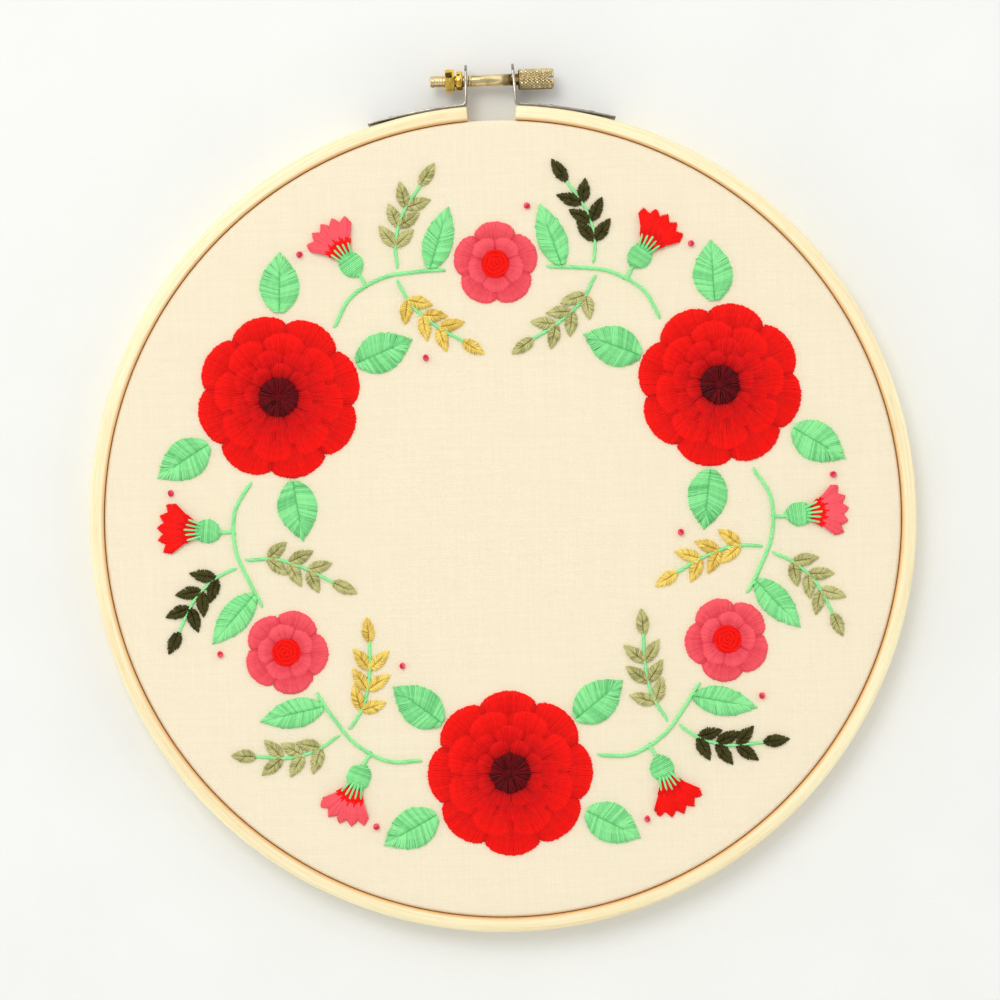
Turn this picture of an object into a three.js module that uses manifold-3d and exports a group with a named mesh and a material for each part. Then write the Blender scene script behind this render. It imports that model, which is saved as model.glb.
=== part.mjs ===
// Hoop embroidery: a stitched cotton disc held taut between two bamboo rings.
// Millimetres, +Z up. The hoop lies on its back, stitched face up, with its clamp towards +Y.
// The origin is the middle of the whole object's box, at the level the rings rest on.
import * as THREE from "three";
import { mergeVertices } from "three/addons/utils/BufferGeometryUtils.js";
import Module from "manifold-3d";

const wasm = await Module();
wasm.setup();

const { cos, sin, sqrt, abs, PI } = Math;
const TURN = 2 * PI;
const radians = THREE.MathUtils.degToRad;

// Driving dimensions
const CLEARANCE = 0.3; // between pieces that touch
const HOOP_RADIUS = 105.6; // outside of the outer ring
const RING_WALL = 3.6;
const OUTER_HEIGHT = 9.5;
const INNER_HEIGHT = 7.7;
const CLOTH_THICKNESS = 1;
const CLOTH_TOP = 9; // half a millimetre below the outer ring's front
const CLOTH_EDGE = 0.5; // the trimmed edge's height above the rest plane
const SPLIT_WIDTH = 12.4; // gap in the outer ring, under the clamp
const EAR_HEIGHT = 10.8; // above the outer ring
const SCREW_RISE = 6.7; // screw axis above the outer ring
const SHAFT_RADIUS = 1.55;
const BARREL_RADIUS = 2.7;

// Worked out from them
const OUTER_BORE = HOOP_RADIUS - RING_WALL;
const CLOTH_RADIUS = OUTER_BORE - CLEARANCE;
const INNER_RADIUS = CLOTH_RADIUS - CLOTH_THICKNESS - CLEARANCE;
const CLOTH_UNDERSIDE = CLOTH_TOP - CLOTH_THICKNESS;
const STITCH_BASE = CLOTH_TOP + CLEARANCE;
const SCREW_Y = HOOP_RADIUS + SCREW_RISE;
const MID_HEIGHT = OUTER_HEIGHT / 2;
const HOOP_CENTRE_Y = -EAR_HEIGHT / 2;

const FINISHES = {
  bamboo: { color: 0xf3dca0, roughness: 0.5, metalness: 0 },
  cotton: { color: 0xfbf0d6, roughness: 0.95, metalness: 0 },
  steel: { color: 0x8b8a84, roughness: 0.35, metalness: 0.9 },
  brass: { color: 0xcdb06a, roughness: 0.35, metalness: 0.9 },
  red_floss: { color: 0xf4221a, roughness: 0.7, metalness: 0 },
  crimson_floss: { color: 0xd01418, roughness: 0.7, metalness: 0 },
  maroon_floss: { color: 0x560818, roughness: 0.7, metalness: 0 },
  coral_floss: { color: 0xee5068, roughness: 0.7, metalness: 0 },
  mint_floss: { color: 0x6cd09a, roughness: 0.7, metalness: 0 },
  sage_floss: { color: 0xa6a470, roughness: 0.7, metalness: 0 },
  olive_floss: { color: 0x35351c, roughness: 0.7, metalness: 0 },
  mustard_floss: { color: 0xd8b450, roughness: 0.7, metalness: 0 },
};

// A closed geometry as a manifold solid.
function solidOf(geometry) {
  const bare = geometry.clone();
  bare.deleteAttribute("normal");
  bare.deleteAttribute("uv");
  const merged = mergeVertices(bare, 1e-4);
  const mesh = new wasm.Mesh({
    numProp: 3,
    vertProperties: merged.attributes.position.array,
    triVerts: new Uint32Array(merged.index.array),
  });
  return new wasm.Manifold(mesh);
}

function geometryOf(solid) {
  const mesh = solid.getMesh();
  const geometry = new THREE.BufferGeometry();
  geometry.setAttribute("position", new THREE.BufferAttribute(mesh.vertProperties, 3));
  geometry.setIndex(new THREE.BufferAttribute(mesh.triVerts, 1));
  geometry.computeVertexNormals();
  return geometry;
}

function cut(geometry, ...tools) {
  return geometryOf(tools.reduce((solid, tool) => solid.subtract(solidOf(tool)), solidOf(geometry)));
}

function join(...geometries) {
  return geometryOf(geometries.map(solidOf).reduce((solid, next) => solid.add(next)));
}

function piece(name, geometry, finish) {
  const mesh = new THREE.Mesh(geometry, new THREE.MeshStandardMaterial(FINISHES[finish]));
  mesh.name = name;
  return mesh;
}

// A closed profile of [radius, height] turned about Z.
function turned(profile, segments) {
  const points = profile.map(([radius, height]) => new THREE.Vector2(radius, height));
  return new THREE.LatheGeometry(points, segments).rotateX(PI / 2);
}

// A rectangle of [radius, height] corners with its corners rounded, closed on itself.
function roundedSection(low, high, fillet, steps) {
  const corners = [
    [high[0] - fillet, low[1] + fillet, -90],
    [high[0] - fillet, high[1] - fillet, 0],
    [low[0] + fillet, high[1] - fillet, 90],
    [low[0] + fillet, low[1] + fillet, 180],
  ];
  const section = corners.flatMap(([x, y, start]) =>
    Array.from({ length: steps + 1 }, (_, i) => {
      const angle = radians(start + (90 * i) / steps);
      return [x + fillet * cos(angle), y + fillet * sin(angle)];
    }),
  );
  return [...section, section[0]];
}

// Rings

const RING_SEGMENTS = 72;
const OUTER_FILLET = 1.1;
const INNER_FILLET = 0.6;

function outerRing() {
  const section = roundedSection([OUTER_BORE, 0], [HOOP_RADIUS, OUTER_HEIGHT], OUTER_FILLET, 2);
  const split = new THREE.BoxGeometry(SPLIT_WIDTH, 4 * RING_WALL, 3 * OUTER_HEIGHT);
  split.translate(0, HOOP_RADIUS - RING_WALL / 2, MID_HEIGHT);
  return cut(turned(section, RING_SEGMENTS), split);
}

function innerRing() {
  const bore = INNER_RADIUS - RING_WALL;
  return turned(roundedSection([bore, 0], [INNER_RADIUS, INNER_HEIGHT], INNER_FILLET, 1), RING_SEGMENTS);
}

// Cloth: a flat disc that turns down over the inner ring and runs to the back between the two rings.

const CLOTH_BEND = 1.8; // outside radius where it turns down

function cloth() {
  const bend = (radius, steps) =>
    Array.from({ length: steps + 1 }, (_, i) => {
      const angle = radians((90 * i) / steps);
      const x = CLOTH_RADIUS - CLOTH_BEND + radius * cos(angle);
      return [x, CLOTH_TOP - CLOTH_BEND + radius * sin(angle)];
    });
  const inside = bend(CLOTH_BEND - CLOTH_THICKNESS, 2).reverse();
  const profile = [
    [0, CLOTH_UNDERSIDE],
    ...inside,
    [CLOTH_RADIUS - CLOTH_THICKNESS, CLOTH_EDGE],
    [CLOTH_RADIUS, CLOTH_EDGE],
    ...bend(CLOTH_BEND, 3),
    [0, CLOTH_TOP],
  ];
  return turned(profile, RING_SEGMENTS);
}

// Clamp: a bent steel strip on each side of the split, drawn together by a brass thumbscrew and a nut.

const STRIP_THICKNESS = 0.8;
const STRIP_WIDTH = 7;
const STRIP_LENGTH = 24; // from the ear, measured across the hoop
const STRIP_LIFT = 0.7; // how far its tip springs off the ring
const STRIP_STEPS = 8;
const EAR_BEND = 1.3; // bend radius at the ear's foot
const EAR_BEND_SHARES = [0.35, 0.7, 1]; // points round that bend
const EAR_TIP_RADIUS = 4.1; // rounding of the ear's top, seen along the screw
const HOLE_RADIUS = 1.95;
const ROUND_SEGMENTS = 24;
const THROUGH = 90; // a cutting bar's length, more than the clamp is wide
const BRACKETS = [
  { name: "bracket_right", side: 1, earAt: 6.4, lean: 4.2 },
  { name: "bracket_left", side: -1, earAt: 6.35, lean: 0.8 },
];

// The middle line of a bracket, from its tip along the ring, round the bend and up the ear.
function bracketLine({ earAt, lean }) {
  const radius = HOOP_RADIUS + CLEARANCE + STRIP_THICKNESS / 2;
  const foot = earAt + EAR_BEND;
  const line = [];
  for (let i = 0; i <= STRIP_STEPS; i++) {
    const share = i / STRIP_STEPS;
    const x = foot + STRIP_LENGTH * (1 - share);
    const lifted = radius + STRIP_LIFT * (1 - share) ** 3;
    line.push(new THREE.Vector2(x, sqrt(lifted ** 2 - x ** 2)));
  }
  const end = line.at(-1);
  const sweep = 90 + lean;
  for (const share of EAR_BEND_SHARES) {
    const angle = radians(sweep * share);
    line.push(new THREE.Vector2(end.x - EAR_BEND * sin(angle), end.y + EAR_BEND * (1 - cos(angle))));
  }
  const bent = line.at(-1);
  const rise = HOOP_RADIUS + EAR_HEIGHT - bent.y;
  line.push(new THREE.Vector2(bent.x - rise * Math.tan(radians(lean)), bent.y + rise));
  return line;
}

// The outline of a strip of even thickness laid along a middle line.
function stripShape(line, thickness) {
  const offset = (side) =>
    line.map((point, i) => {
      const along = line[Math.min(i + 1, line.length - 1)].clone().sub(line[Math.max(i - 1, 0)]);
      const normal = new THREE.Vector2(-along.y, along.x).normalize();
      return point.clone().addScaledVector(normal, (side * thickness) / 2);
    });
  return new THREE.Shape([...offset(1), ...offset(-1).reverse()]);
}

// A round bar along X.
function barX(radius, length, segments = ROUND_SEGMENTS) {
  return new THREE.CylinderGeometry(radius, radius, length, segments).rotateZ(PI / 2);
}

function bracket(row) {
  const shape = stripShape(bracketLine(row), STRIP_THICKNESS);
  const strip = new THREE.ExtrudeGeometry(shape, { depth: STRIP_WIDTH, bevelEnabled: false });
  strip.translate(0, 0, MID_HEIGHT - STRIP_WIDTH / 2);
  const hole = barX(HOLE_RADIUS, THROUGH).translate(0, SCREW_Y, MID_HEIGHT);
  const roundTop = barX(EAR_TIP_RADIUS, THROUGH).translate(0, SCREW_Y, MID_HEIGHT);
  const below = new THREE.BoxGeometry(THROUGH, HOOP_RADIUS, 2 * OUTER_HEIGHT);
  below.translate(0, SCREW_Y - HOOP_RADIUS / 2, MID_HEIGHT);
  const kept = solidOf(below).add(solidOf(roundTop));
  const solid = solidOf(strip).intersect(kept).subtract(solidOf(hole));
  return geometryOf(row.side > 0 ? solid : solid.mirror([1, 0, 0]));
}

const BARREL = { start: 7.1, end: 16.2, chamfer: 0.4 };
const TAIL_END = -15.5;
const SLOT = { width: 0.9, depth: 1.3 };
const NUT = { start: -9.2, length: 2.4, acrossFlats: 5.5, sides: 6 };
const COLLAR = { start: -7.15, length: 1.6, radius: 2.5 };

// One turned piece: plain shaft and knurled barrel, with a driver slot in the barrel's end.
function thumbscrew() {
  const { start, end, chamfer } = BARREL;
  const profile = [
    [0, TAIL_END],
    [SHAFT_RADIUS - chamfer, TAIL_END],
    [SHAFT_RADIUS, TAIL_END + chamfer],
    [SHAFT_RADIUS, start],
    [BARREL_RADIUS - chamfer, start],
    [BARREL_RADIUS, start + chamfer],
    [BARREL_RADIUS, end - chamfer],
    [BARREL_RADIUS - chamfer, end],
    [0, end],
  ];
  const slot = new THREE.BoxGeometry(SLOT.width, 4 * BARREL_RADIUS, 2 * SLOT.depth);
  slot.translate(0, 0, end);
  return cut(turned(profile, ROUND_SEGMENTS), slot).rotateY(PI / 2);
}

// A nut or collar: a prism along -X from its start, with a clear hole for the shaft.
function collarX({ radius, length, start, sides }) {
  const body = barX(radius, length, sides).translate(start - length / 2, 0, 0);
  return cut(body, barX(HOLE_RADIUS, THROUGH));
}

// Stitched wreath. Three like sections, each of two mirrored halves, from a bloom to a blossom.
// A spot is [degrees from the bloom, millimetres from the hoop's centre].

const SECTIONS = 3;
const FIRST_BLOOM = -90; // degrees, so that one bloom is at the foot of the wreath
const HALF_SECTION = 180 / SECTIONS;
const WREATH_RADIUS = 65;
const BLOOM = { radius: 21, inner: 12.4, eye: 5.6, petals: 8, notch: 0.13, points: 6, height: 1 };
const BLOSSOM = { radius: 10.8, eye: 3.4, petals: 5, notch: 0.2, points: 6, height: 0.9 };
const EYE_POINTS = { bloom: 16, blossom: 10 };
const LEAF = { length: 15.5, width: 10, height: 0.9 };
const LEAF_TURNS = { outer: 62, inner: 128 }; // from straight out, round the bloom
const LEAF_STATIONS = [0.14, 0.34, 0.56, 0.78]; // shares of its length
const LEAF_RIB = 0.6; // the rib's height as a share of the crests'
const VINE_LEAF = { at: [45.2, 66.1], turn: 33, length: 16.5, width: 7.4, height: 0.8 };
const SMALL_LEAF = { length: 6.6, width: 3.2, height: 0.8, slant: 42 };
const SMALL_LEAF_SHOULDERS = { near: 0.3, far: 0.68, farWidth: 0.85 };
const STEM = { width: 1.2, crest: 0.5, height: 0.8 };
const STEM_STEPS = { vine: 9, bud: 3, sprig: 7 };
const VINE = [[20.2, 65], [27, 68.5], [35, 68.7], [42, 66.8], [48.6, 65.2]];
const BUD_STEM = [[31, 68.6], [31.2, 71], [31, 73.2]];
const BUD = { reach: 12.2, spread: 42, flatten: 0.9, teeth: 5, notch: 1.6, height: 1 };
const CUP = { radius: 3, stretch: 1.15, offset: 2.4, points: 10 };
const FAN_FOOT = { at: 6.25, halfWidth: 1.9 };
const SPRIGS = [
  { name: "inner_sprig", route: [[37.6, 66.6], [38.5, 59], [43, 51.5], [49.5, 46]], pairs: 3 },
  { name: "outer_sprig", route: [[38.8, 69.2], [40.2, 75], [43.2, 81.5], [48, 88]], pairs: 3 },
];
const PAIR_SPAN = [0.24, 0.9]; // of a sprig's stem
const TIP_AT = 0.97;
const SPRIG_FINISHES = {
  inner_sprig: ["sage_floss", "mustard_floss"],
  outer_sprig: ["olive_floss", "sage_floss"],
};

function spotAt([degrees, radius], bloomAngle, side) {
  const angle = radians(bloomAngle + side * degrees);
  return new THREE.Vector2(radius * cos(angle), radius * sin(angle));
}

// A low pad on a star-shaped outline about the origin: upright foot, sloped shoulder, crowned top.
function pad(outline, height) {
  const FOOT_SHARE = 0.45;
  const TOP_SHARE = 0.86;
  const n = outline.length;
  const ring = (scale, z) => outline.flatMap((p) => [p.x * scale, p.y * scale, z]);
  const positions = [
    ...ring(1, 0),
    ...ring(1, height * FOOT_SHARE),
    ...ring(TOP_SHARE, height),
    ...[0, 0, 0],
    ...[0, 0, height],
  ];
  const faces = [];
  for (let i = 0; i < n; i++) {
    const j = (i + 1) % n;
    for (const row of [0, n]) {
      faces.push(row + i, row + j, row + n + j, row + i, row + n + j, row + n + i);
    }
    faces.push(3 * n, j, i);
    faces.push(3 * n + 1, 2 * n + i, 2 * n + j);
  }
  const geometry = new THREE.BufferGeometry();
  geometry.setAttribute("position", new THREE.Float32BufferAttribute(positions, 3));
  geometry.setIndex(faces);
  return geometry;
}

// A flower's outline: round lobes with a dip of the given share of the radius between them.
function lobes(radius, petals, notch, points) {
  return Array.from({ length: petals * points }, (_, i) => {
    const share = i / points;
    const reach = radius * (1 - notch + notch * sqrt(abs(cos(PI * share))));
    const angle = (TURN * share) / petals;
    return new THREE.Vector2(reach * cos(angle), reach * sin(angle));
  });
}

function circle(radius, points) {
  return lobes(radius, 1, 0, points);
}

// A straight-sided block on an outline, deep enough to cut through a pad.
function cutter(outline) {
  const DEPTH = 6;
  const block = new THREE.ExtrudeGeometry(new THREE.Shape(outline), { depth: DEPTH, bevelEnabled: false });
  return block.translate(0, 0, -DEPTH / 2);
}

// Petals worked round a hole, the hole's outline being lobed like what sits in it.
function petalRing(outer, inner, height) {
  return cut(pad(outer, height), cutter(inner));
}

function bloomPieces(index, angle) {
  const { radius, inner, eye, petals, notch, points, height } = BLOOM;
  const at = spotAt([0, WREATH_RADIUS], angle, 1);
  const outline = lobes(radius, petals, notch, points);
  const innerOutline = lobes(inner, petals, notch, points - 1);
  const innerHole = lobes(inner + 2 * CLEARANCE, petals, notch, points - 1);
  const eyeOutline = circle(eye, EYE_POINTS.bloom);
  const eyeHole = circle(eye + 2 * CLEARANCE, EYE_POINTS.bloom);
  const made = [
    piece(`bloom_${index}_outer`, petalRing(outline, innerHole, height), "red_floss"),
    piece(`bloom_${index}_inner`, petalRing(innerOutline, eyeHole, height), "crimson_floss"),
    piece(`bloom_${index}_eye`, pad(eyeOutline, height), "maroon_floss"),
  ];
  for (const mesh of made) {
    mesh.position.set(at.x, at.y, 0);
    mesh.rotation.z = radians(angle);
  }
  return made;
}

function blossomPieces(index, angle) {
  const { radius, eye, petals, notch, points, height } = BLOSSOM;
  const at = spotAt([0, WREATH_RADIUS], angle, 1);
  const eyeHole = circle(eye + 2 * CLEARANCE, EYE_POINTS.blossom);
  const petalPad = petalRing(lobes(radius, petals, notch, points), eyeHole, height);
  const made = [
    piece(`blossom_${index}_petals`, petalPad, "coral_floss"),
    piece(`blossom_${index}_eye`, pad(circle(eye, EYE_POINTS.blossom), height), "red_floss"),
  ];
  for (const mesh of made) {
    mesh.position.set(at.x, at.y, 0);
    mesh.rotation.z = radians(angle);
  }
  return made;
}

// A leaf lying along +X: two rounded halves that dip at the rib between them.
function ribbedLeaf({ length, width, height }) {
  const halfWidth = (share) => (width / 2) * sin(PI * share ** 0.85) ** 0.8;
  const crestHeight = (share) => height * sin(PI * share) ** 0.4;
  const positions = [0, 0, 0, length, 0, 0];
  for (const share of LEAF_STATIONS) {
    const x = length * share;
    const y = halfWidth(share);
    const z = crestHeight(share);
    positions.push(x, -y, 0, x, -y / 2, z, x, 0, z * LEAF_RIB, x, y / 2, z, x, y, 0);
  }
  const ACROSS = 5;
  const at = (station, column) => 2 + station * ACROSS + column;
  const last = LEAF_STATIONS.length - 1;
  const faces = [];
  for (let column = 0; column < ACROSS - 1; column++) {
    faces.push(0, at(0, column), at(0, column + 1));
    faces.push(1, at(last, column + 1), at(last, column));
    for (let station = 0; station < last; station++) {
      const [a, b] = [at(station, column), at(station + 1, column)];
      faces.push(a, b, b + 1, a, b + 1, a + 1);
    }
  }
  faces.push(0, at(0, ACROSS - 1), at(0, 0));
  faces.push(1, at(last, 0), at(last, ACROSS - 1));
  for (let station = 0; station < last; station++) {
    const [a, b] = [at(station, 0), at(station + 1, 0)];
    faces.push(a, b + ACROSS - 1, b, a, a + ACROSS - 1, b + ACROSS - 1);
  }
  const geometry = new THREE.BufferGeometry();
  geometry.setAttribute("position", new THREE.Float32BufferAttribute(positions, 3));
  geometry.setIndex(faces);
  return geometry;
}

// The two large leaves that show from under a bloom on one side of it.
function leafPieces(index, angle, side) {
  const bloom = spotAt([0, WREATH_RADIUS], angle, 1);
  return Object.entries(LEAF_TURNS).map(([where, turn]) => {
    const heading = radians(angle + side * turn);
    const foot = BLOOM.radius + CLEARANCE;
    const mesh = piece(`leaf_${index}_${where}`, ribbedLeaf(LEAF), "mint_floss");
    mesh.position.set(bloom.x + foot * cos(heading), bloom.y + foot * sin(heading), 0);
    mesh.rotation.z = heading;
    return mesh;
  });
}

// A stem: a flat-bottomed bead with sloped sides along a smooth route of points.
function stemGeometry(points, steps) {
  const route = points.map((p) => new THREE.Vector3(p.x, p.y, 0));
  const section = new THREE.Shape([
    new THREE.Vector2(0, -STEM.width / 2),
    new THREE.Vector2(0, STEM.width / 2),
    new THREE.Vector2(-STEM.height, STEM.crest / 2),
    new THREE.Vector2(-STEM.height, -STEM.crest / 2),
  ]);
  const extrudePath = new THREE.CatmullRomCurve3(route);
  return new THREE.ExtrudeGeometry(section, { steps, extrudePath, bevelEnabled: false });
}

// A small leaf lying along +X, six-sided, with a raised ridge.
function smallLeaf({ length, width, height }) {
  const near = SMALL_LEAF_SHOULDERS.near * length;
  const far = SMALL_LEAF_SHOULDERS.far * length;
  const half = width / 2;
  const farHalf = SMALL_LEAF_SHOULDERS.farWidth * half;
  const positions = [
    ...[0, 0, 0],
    ...[near, -half, 0],
    ...[far, -farHalf, 0],
    ...[length, 0, 0],
    ...[far, farHalf, 0],
    ...[near, half, 0],
    ...[near, 0, height],
    ...[far, 0, height],
  ];
  const faces = [
    ...[0, 2, 1, 0, 3, 2, 0, 4, 3, 0, 5, 4],
    ...[0, 1, 6, 1, 2, 7, 1, 7, 6, 2, 3, 7],
    ...[3, 4, 7, 4, 5, 6, 4, 6, 7, 5, 0, 6],
  ];
  const geometry = new THREE.BufferGeometry();
  geometry.setAttribute("position", new THREE.Float32BufferAttribute(positions, 3));
  geometry.setIndex(faces);
  return geometry;
}

// A sprig: a stem with pairs of small leaves and one at its tip.
function sprigParts({ route, pairs }, angle, side) {
  const [first, end] = PAIR_SPAN;
  const points = route.map((spot) => spotAt(spot, angle, side));
  const curve = new THREE.SplineCurve(points);
  const leafAt = (share, turn) => {
    const foot = curve.getPointAt(share);
    const heading = curve.getTangentAt(share).angle() + radians(turn);
    return smallLeaf(SMALL_LEAF).rotateZ(heading).translate(foot.x, foot.y, 0);
  };
  const parts = [stemGeometry(points, STEM_STEPS.sprig), leafAt(TIP_AT, 0)];
  for (let i = 0; i < pairs; i++) {
    const share = first + (i * (end - first)) / pairs;
    parts.push(leafAt(share, SMALL_LEAF.slant), leafAt(share, -SMALL_LEAF.slant));
  }
  return parts;
}

// A bud's place: where its stem ends, and the way it points.
function budPlace(angle, side) {
  const [below, foot] = BUD_STEM.slice(-2).map((spot) => spotAt(spot, angle, side));
  return { foot, heading: foot.clone().sub(below).angle() };
}

function placed(geometry, { foot, heading }) {
  return geometry.rotateZ(heading).translate(foot.x, foot.y, 0);
}

// The green cup that holds a bud's fan, opening along +X.
function budCup() {
  const round = pad(circle(CUP.radius, CUP.points), BUD.height);
  return round.scale(CUP.stretch, 1, 1).translate(CUP.offset, 0, 0);
}

// The bud's fan of floss above its cup, with a toothed edge.
function budFan() {
  const { reach, spread, flatten, teeth, notch, height } = BUD;
  const middle = (FAN_FOOT.at + CUP.radius + reach) / 2;
  const rim = Array.from({ length: 2 * teeth + 1 }, (_, i) => {
    const angle = radians(spread * (i / teeth - 1));
    const radius = i % 2 ? reach : reach - notch;
    return new THREE.Vector2(CUP.radius + radius * cos(angle) - middle, radius * sin(angle) * flatten);
  });
  const foot = [1, 0, -1].map((y) => new THREE.Vector2(FAN_FOOT.at - middle, y * FAN_FOOT.halfWidth));
  return pad([...rim, ...foot], height).translate(middle, 0, 0);
}

// The vine between a bloom and the next blossom, with its bud's stem and cup and one leaf.
function vine(angle, side) {
  const route = VINE.map((spot) => spotAt(spot, angle, side));
  const budRoute = BUD_STEM.map((spot) => spotAt(spot, angle, side));
  const leaf = {
    foot: spotAt(VINE_LEAF.at, angle, side),
    heading: radians(angle + side * (VINE_LEAF.at[0] + VINE_LEAF.turn)),
  };
  return join(
    stemGeometry(route, STEM_STEPS.vine),
    stemGeometry(budRoute, STEM_STEPS.bud),
    placed(budCup(), budPlace(angle, side)),
    placed(ribbedLeaf(VINE_LEAF), leaf),
  );
}

function wreath() {
  const group = new THREE.Group();
  group.position.set(0, HOOP_CENTRE_Y, STITCH_BASE);
  let half = 0;
  for (let section = 0; section < SECTIONS; section++) {
    const angle = FIRST_BLOOM + 2 * HALF_SECTION * section;
    group.add(...bloomPieces(section + 1, angle));
    group.add(...blossomPieces(section + 1, angle + HALF_SECTION));
    for (const side of [1, -1]) {
      half += 1;
      group.add(...leafPieces(half, angle, side));
      group.add(piece(`vine_${half}`, vine(angle, side), "mint_floss"));
      const fanFinish = side > 0 ? "red_floss" : "coral_floss";
      group.add(piece(`bud_${half}`, placed(budFan(), budPlace(angle, side)), fanFinish));
      for (const sprig of SPRIGS) {
        const finish = SPRIG_FINISHES[sprig.name][side > 0 ? 0 : 1];
        group.add(piece(`${sprig.name}_${half}`, join(...sprigParts(sprig, angle, side)), finish));
      }
    }
  }
  return group;
}

function hoop() {
  const group = new THREE.Group();
  group.position.y = HOOP_CENTRE_Y;
  group.add(piece("outer_ring", outerRing(), "bamboo"));
  group.add(piece("inner_ring", innerRing(), "bamboo"));
  group.add(piece("cloth", cloth(), "cotton"));
  return group;
}

function clamp() {
  const group = new THREE.Group();
  group.position.y = HOOP_CENTRE_Y;
  for (const row of BRACKETS) {
    group.add(piece(row.name, bracket(row), "steel"));
  }
  const onScrew = new THREE.Group();
  onScrew.position.set(0, SCREW_Y, MID_HEIGHT);
  const nut = { ...NUT, radius: NUT.acrossFlats / sqrt(3) };
  onScrew.add(piece("thumbscrew", thumbscrew(), "brass"));
  onScrew.add(piece("nut", collarX(nut), "brass"));
  onScrew.add(piece("collar", collarX(COLLAR), "brass"));
  group.add(onScrew);
  return group;
}

const embroideredHoop = new THREE.Group();
embroideredHoop.add(hoop(), clamp(), wreath());

export default embroideredHoop;
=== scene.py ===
import math
import random

import bmesh
import bpy
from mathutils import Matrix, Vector, noise


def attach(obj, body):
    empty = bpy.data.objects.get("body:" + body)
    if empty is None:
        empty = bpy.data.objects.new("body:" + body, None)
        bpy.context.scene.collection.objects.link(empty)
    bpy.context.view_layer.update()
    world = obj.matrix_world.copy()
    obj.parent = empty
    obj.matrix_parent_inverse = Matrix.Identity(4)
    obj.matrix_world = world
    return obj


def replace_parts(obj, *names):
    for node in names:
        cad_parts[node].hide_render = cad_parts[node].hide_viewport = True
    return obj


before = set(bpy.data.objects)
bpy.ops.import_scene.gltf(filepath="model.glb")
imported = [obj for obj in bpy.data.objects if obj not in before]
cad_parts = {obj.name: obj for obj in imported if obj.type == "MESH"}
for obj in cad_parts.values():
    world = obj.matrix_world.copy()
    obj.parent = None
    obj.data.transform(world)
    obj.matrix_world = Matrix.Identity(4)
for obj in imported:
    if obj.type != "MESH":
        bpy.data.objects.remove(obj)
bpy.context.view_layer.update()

# The inner hoop
# A thin bamboo strip, bent into a closed circle, glued and sanded smooth under a satin varnish.
# The cloth is stretched over its upper edge.

MM = 0.001
HOOP_CENTRE_Y = -5.4
HOOP_RADIUS = 105.6
RING_STATIONS = 256
INNER_BORE = 96.9
INNER_RADIUS = 101.1
INNER_HEIGHT = 8.5
END_GRAIN = 0.05


def colour_of(red, green, blue):
    """A screen colour from 0 to 255, as the linear colour that a shader takes."""
    parts = [channel / 255 for channel in (red, green, blue)]
    return tuple(c / 12.92 if c <= 0.04045 else ((c + 0.055) / 1.055) ** 2.4 for c in parts) + (1.0,)


def new_object(name, data):
    piece = bpy.data.objects.new(name, data)
    bpy.context.scene.collection.objects.link(piece)
    return piece


def mesh_object(name, points, faces, corner_uvs=None):
    """A smooth piece from points in millimetres, with one UV pair in metres for each face corner."""
    mesh = bpy.data.meshes.new(name)
    mesh.from_pydata([(x * MM, y * MM, z * MM) for x, y, z in points], [], faces)
    if corner_uvs:
        layer = mesh.uv_layers.new(name="UVMap")
        for corner, uv in zip(layer.data, corner_uvs):
            corner.uv = uv
    for polygon in mesh.polygons:
        polygon.use_smooth = True
    return new_object(name, mesh)


def face_outwards(piece):
    """Turns every face of a closed piece to the outside."""
    shell = bmesh.new()
    shell.from_mesh(piece.data)
    bmesh.ops.recalc_face_normals(shell, faces=shell.faces)
    shell.to_mesh(piece.data)
    shell.free()


def eased_section(bore, radius, height, eases, steps=4):
    """A strip's section, (radius, height) points from the middle of its underside, corners eased.

    The eases are for the outer lower, outer upper, inner upper and inner lower corner.
    """
    places = [(radius, 0, -90), (radius, height, 0), (bore, height, 90), (bore, 0, 180)]
    section = [((bore + radius) / 2, 0)]
    for (r, z, start), ease in zip(places, eases):
        centre_r = r - ease if r == radius else r + ease
        centre_z = z + ease if z == 0 else z - ease
        for i in range(steps + 1):
            angle = math.radians(start + 90 * i / steps)
            section.append((centre_r + ease * math.cos(angle), centre_z + ease * math.sin(angle)))
    return section


def bent_strip(name, section, stations, closed):
    """Bends a section round the hoop. Each station is an angle and the section's size there."""
    middle_r = sum(r for r, _ in section) / len(section)
    middle_z = sum(z for _, z in section) / len(section)
    points = []
    for angle, size in stations:
        for r, z in section:
            radius = middle_r + (r - middle_r) * size
            height = middle_z + (z - middle_z) * size
            points.append((radius * math.cos(angle), HOOP_CENTRE_Y + radius * math.sin(angle), height))
    count = len(section)
    girth = [0.0]
    for (r, z), (next_r, next_z) in zip(section, section[1:] + section[:1]):
        girth.append(girth[-1] + math.hypot(next_r - r, next_z - z) * MM)
    along = [angle * HOOP_RADIUS * MM for angle, _ in stations]
    faces, uvs = [], []
    for i in range(len(stations) if closed else len(stations) - 1):
        j = (i + 1) % len(stations)
        end = along[j] if j else 2 * math.pi * HOOP_RADIUS * MM + along[0]
        for k in range(count):
            n = (k + 1) % count
            faces.append((i * count + k, i * count + n, j * count + n, j * count + k))
            uvs += [(along[i], girth[k]), (along[i], girth[k + 1]), (end, girth[k + 1]), (end, girth[k])]
    if not closed:
        for i in (0, len(stations) - 1):
            faces.append(tuple(i * count + k for k in range(count)))
            uvs += [(along[i] + r * MM * END_GRAIN, z * MM) for r, z in section]
    piece = mesh_object(name, points, faces, uvs)
    face_outwards(piece)
    return piece


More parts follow.
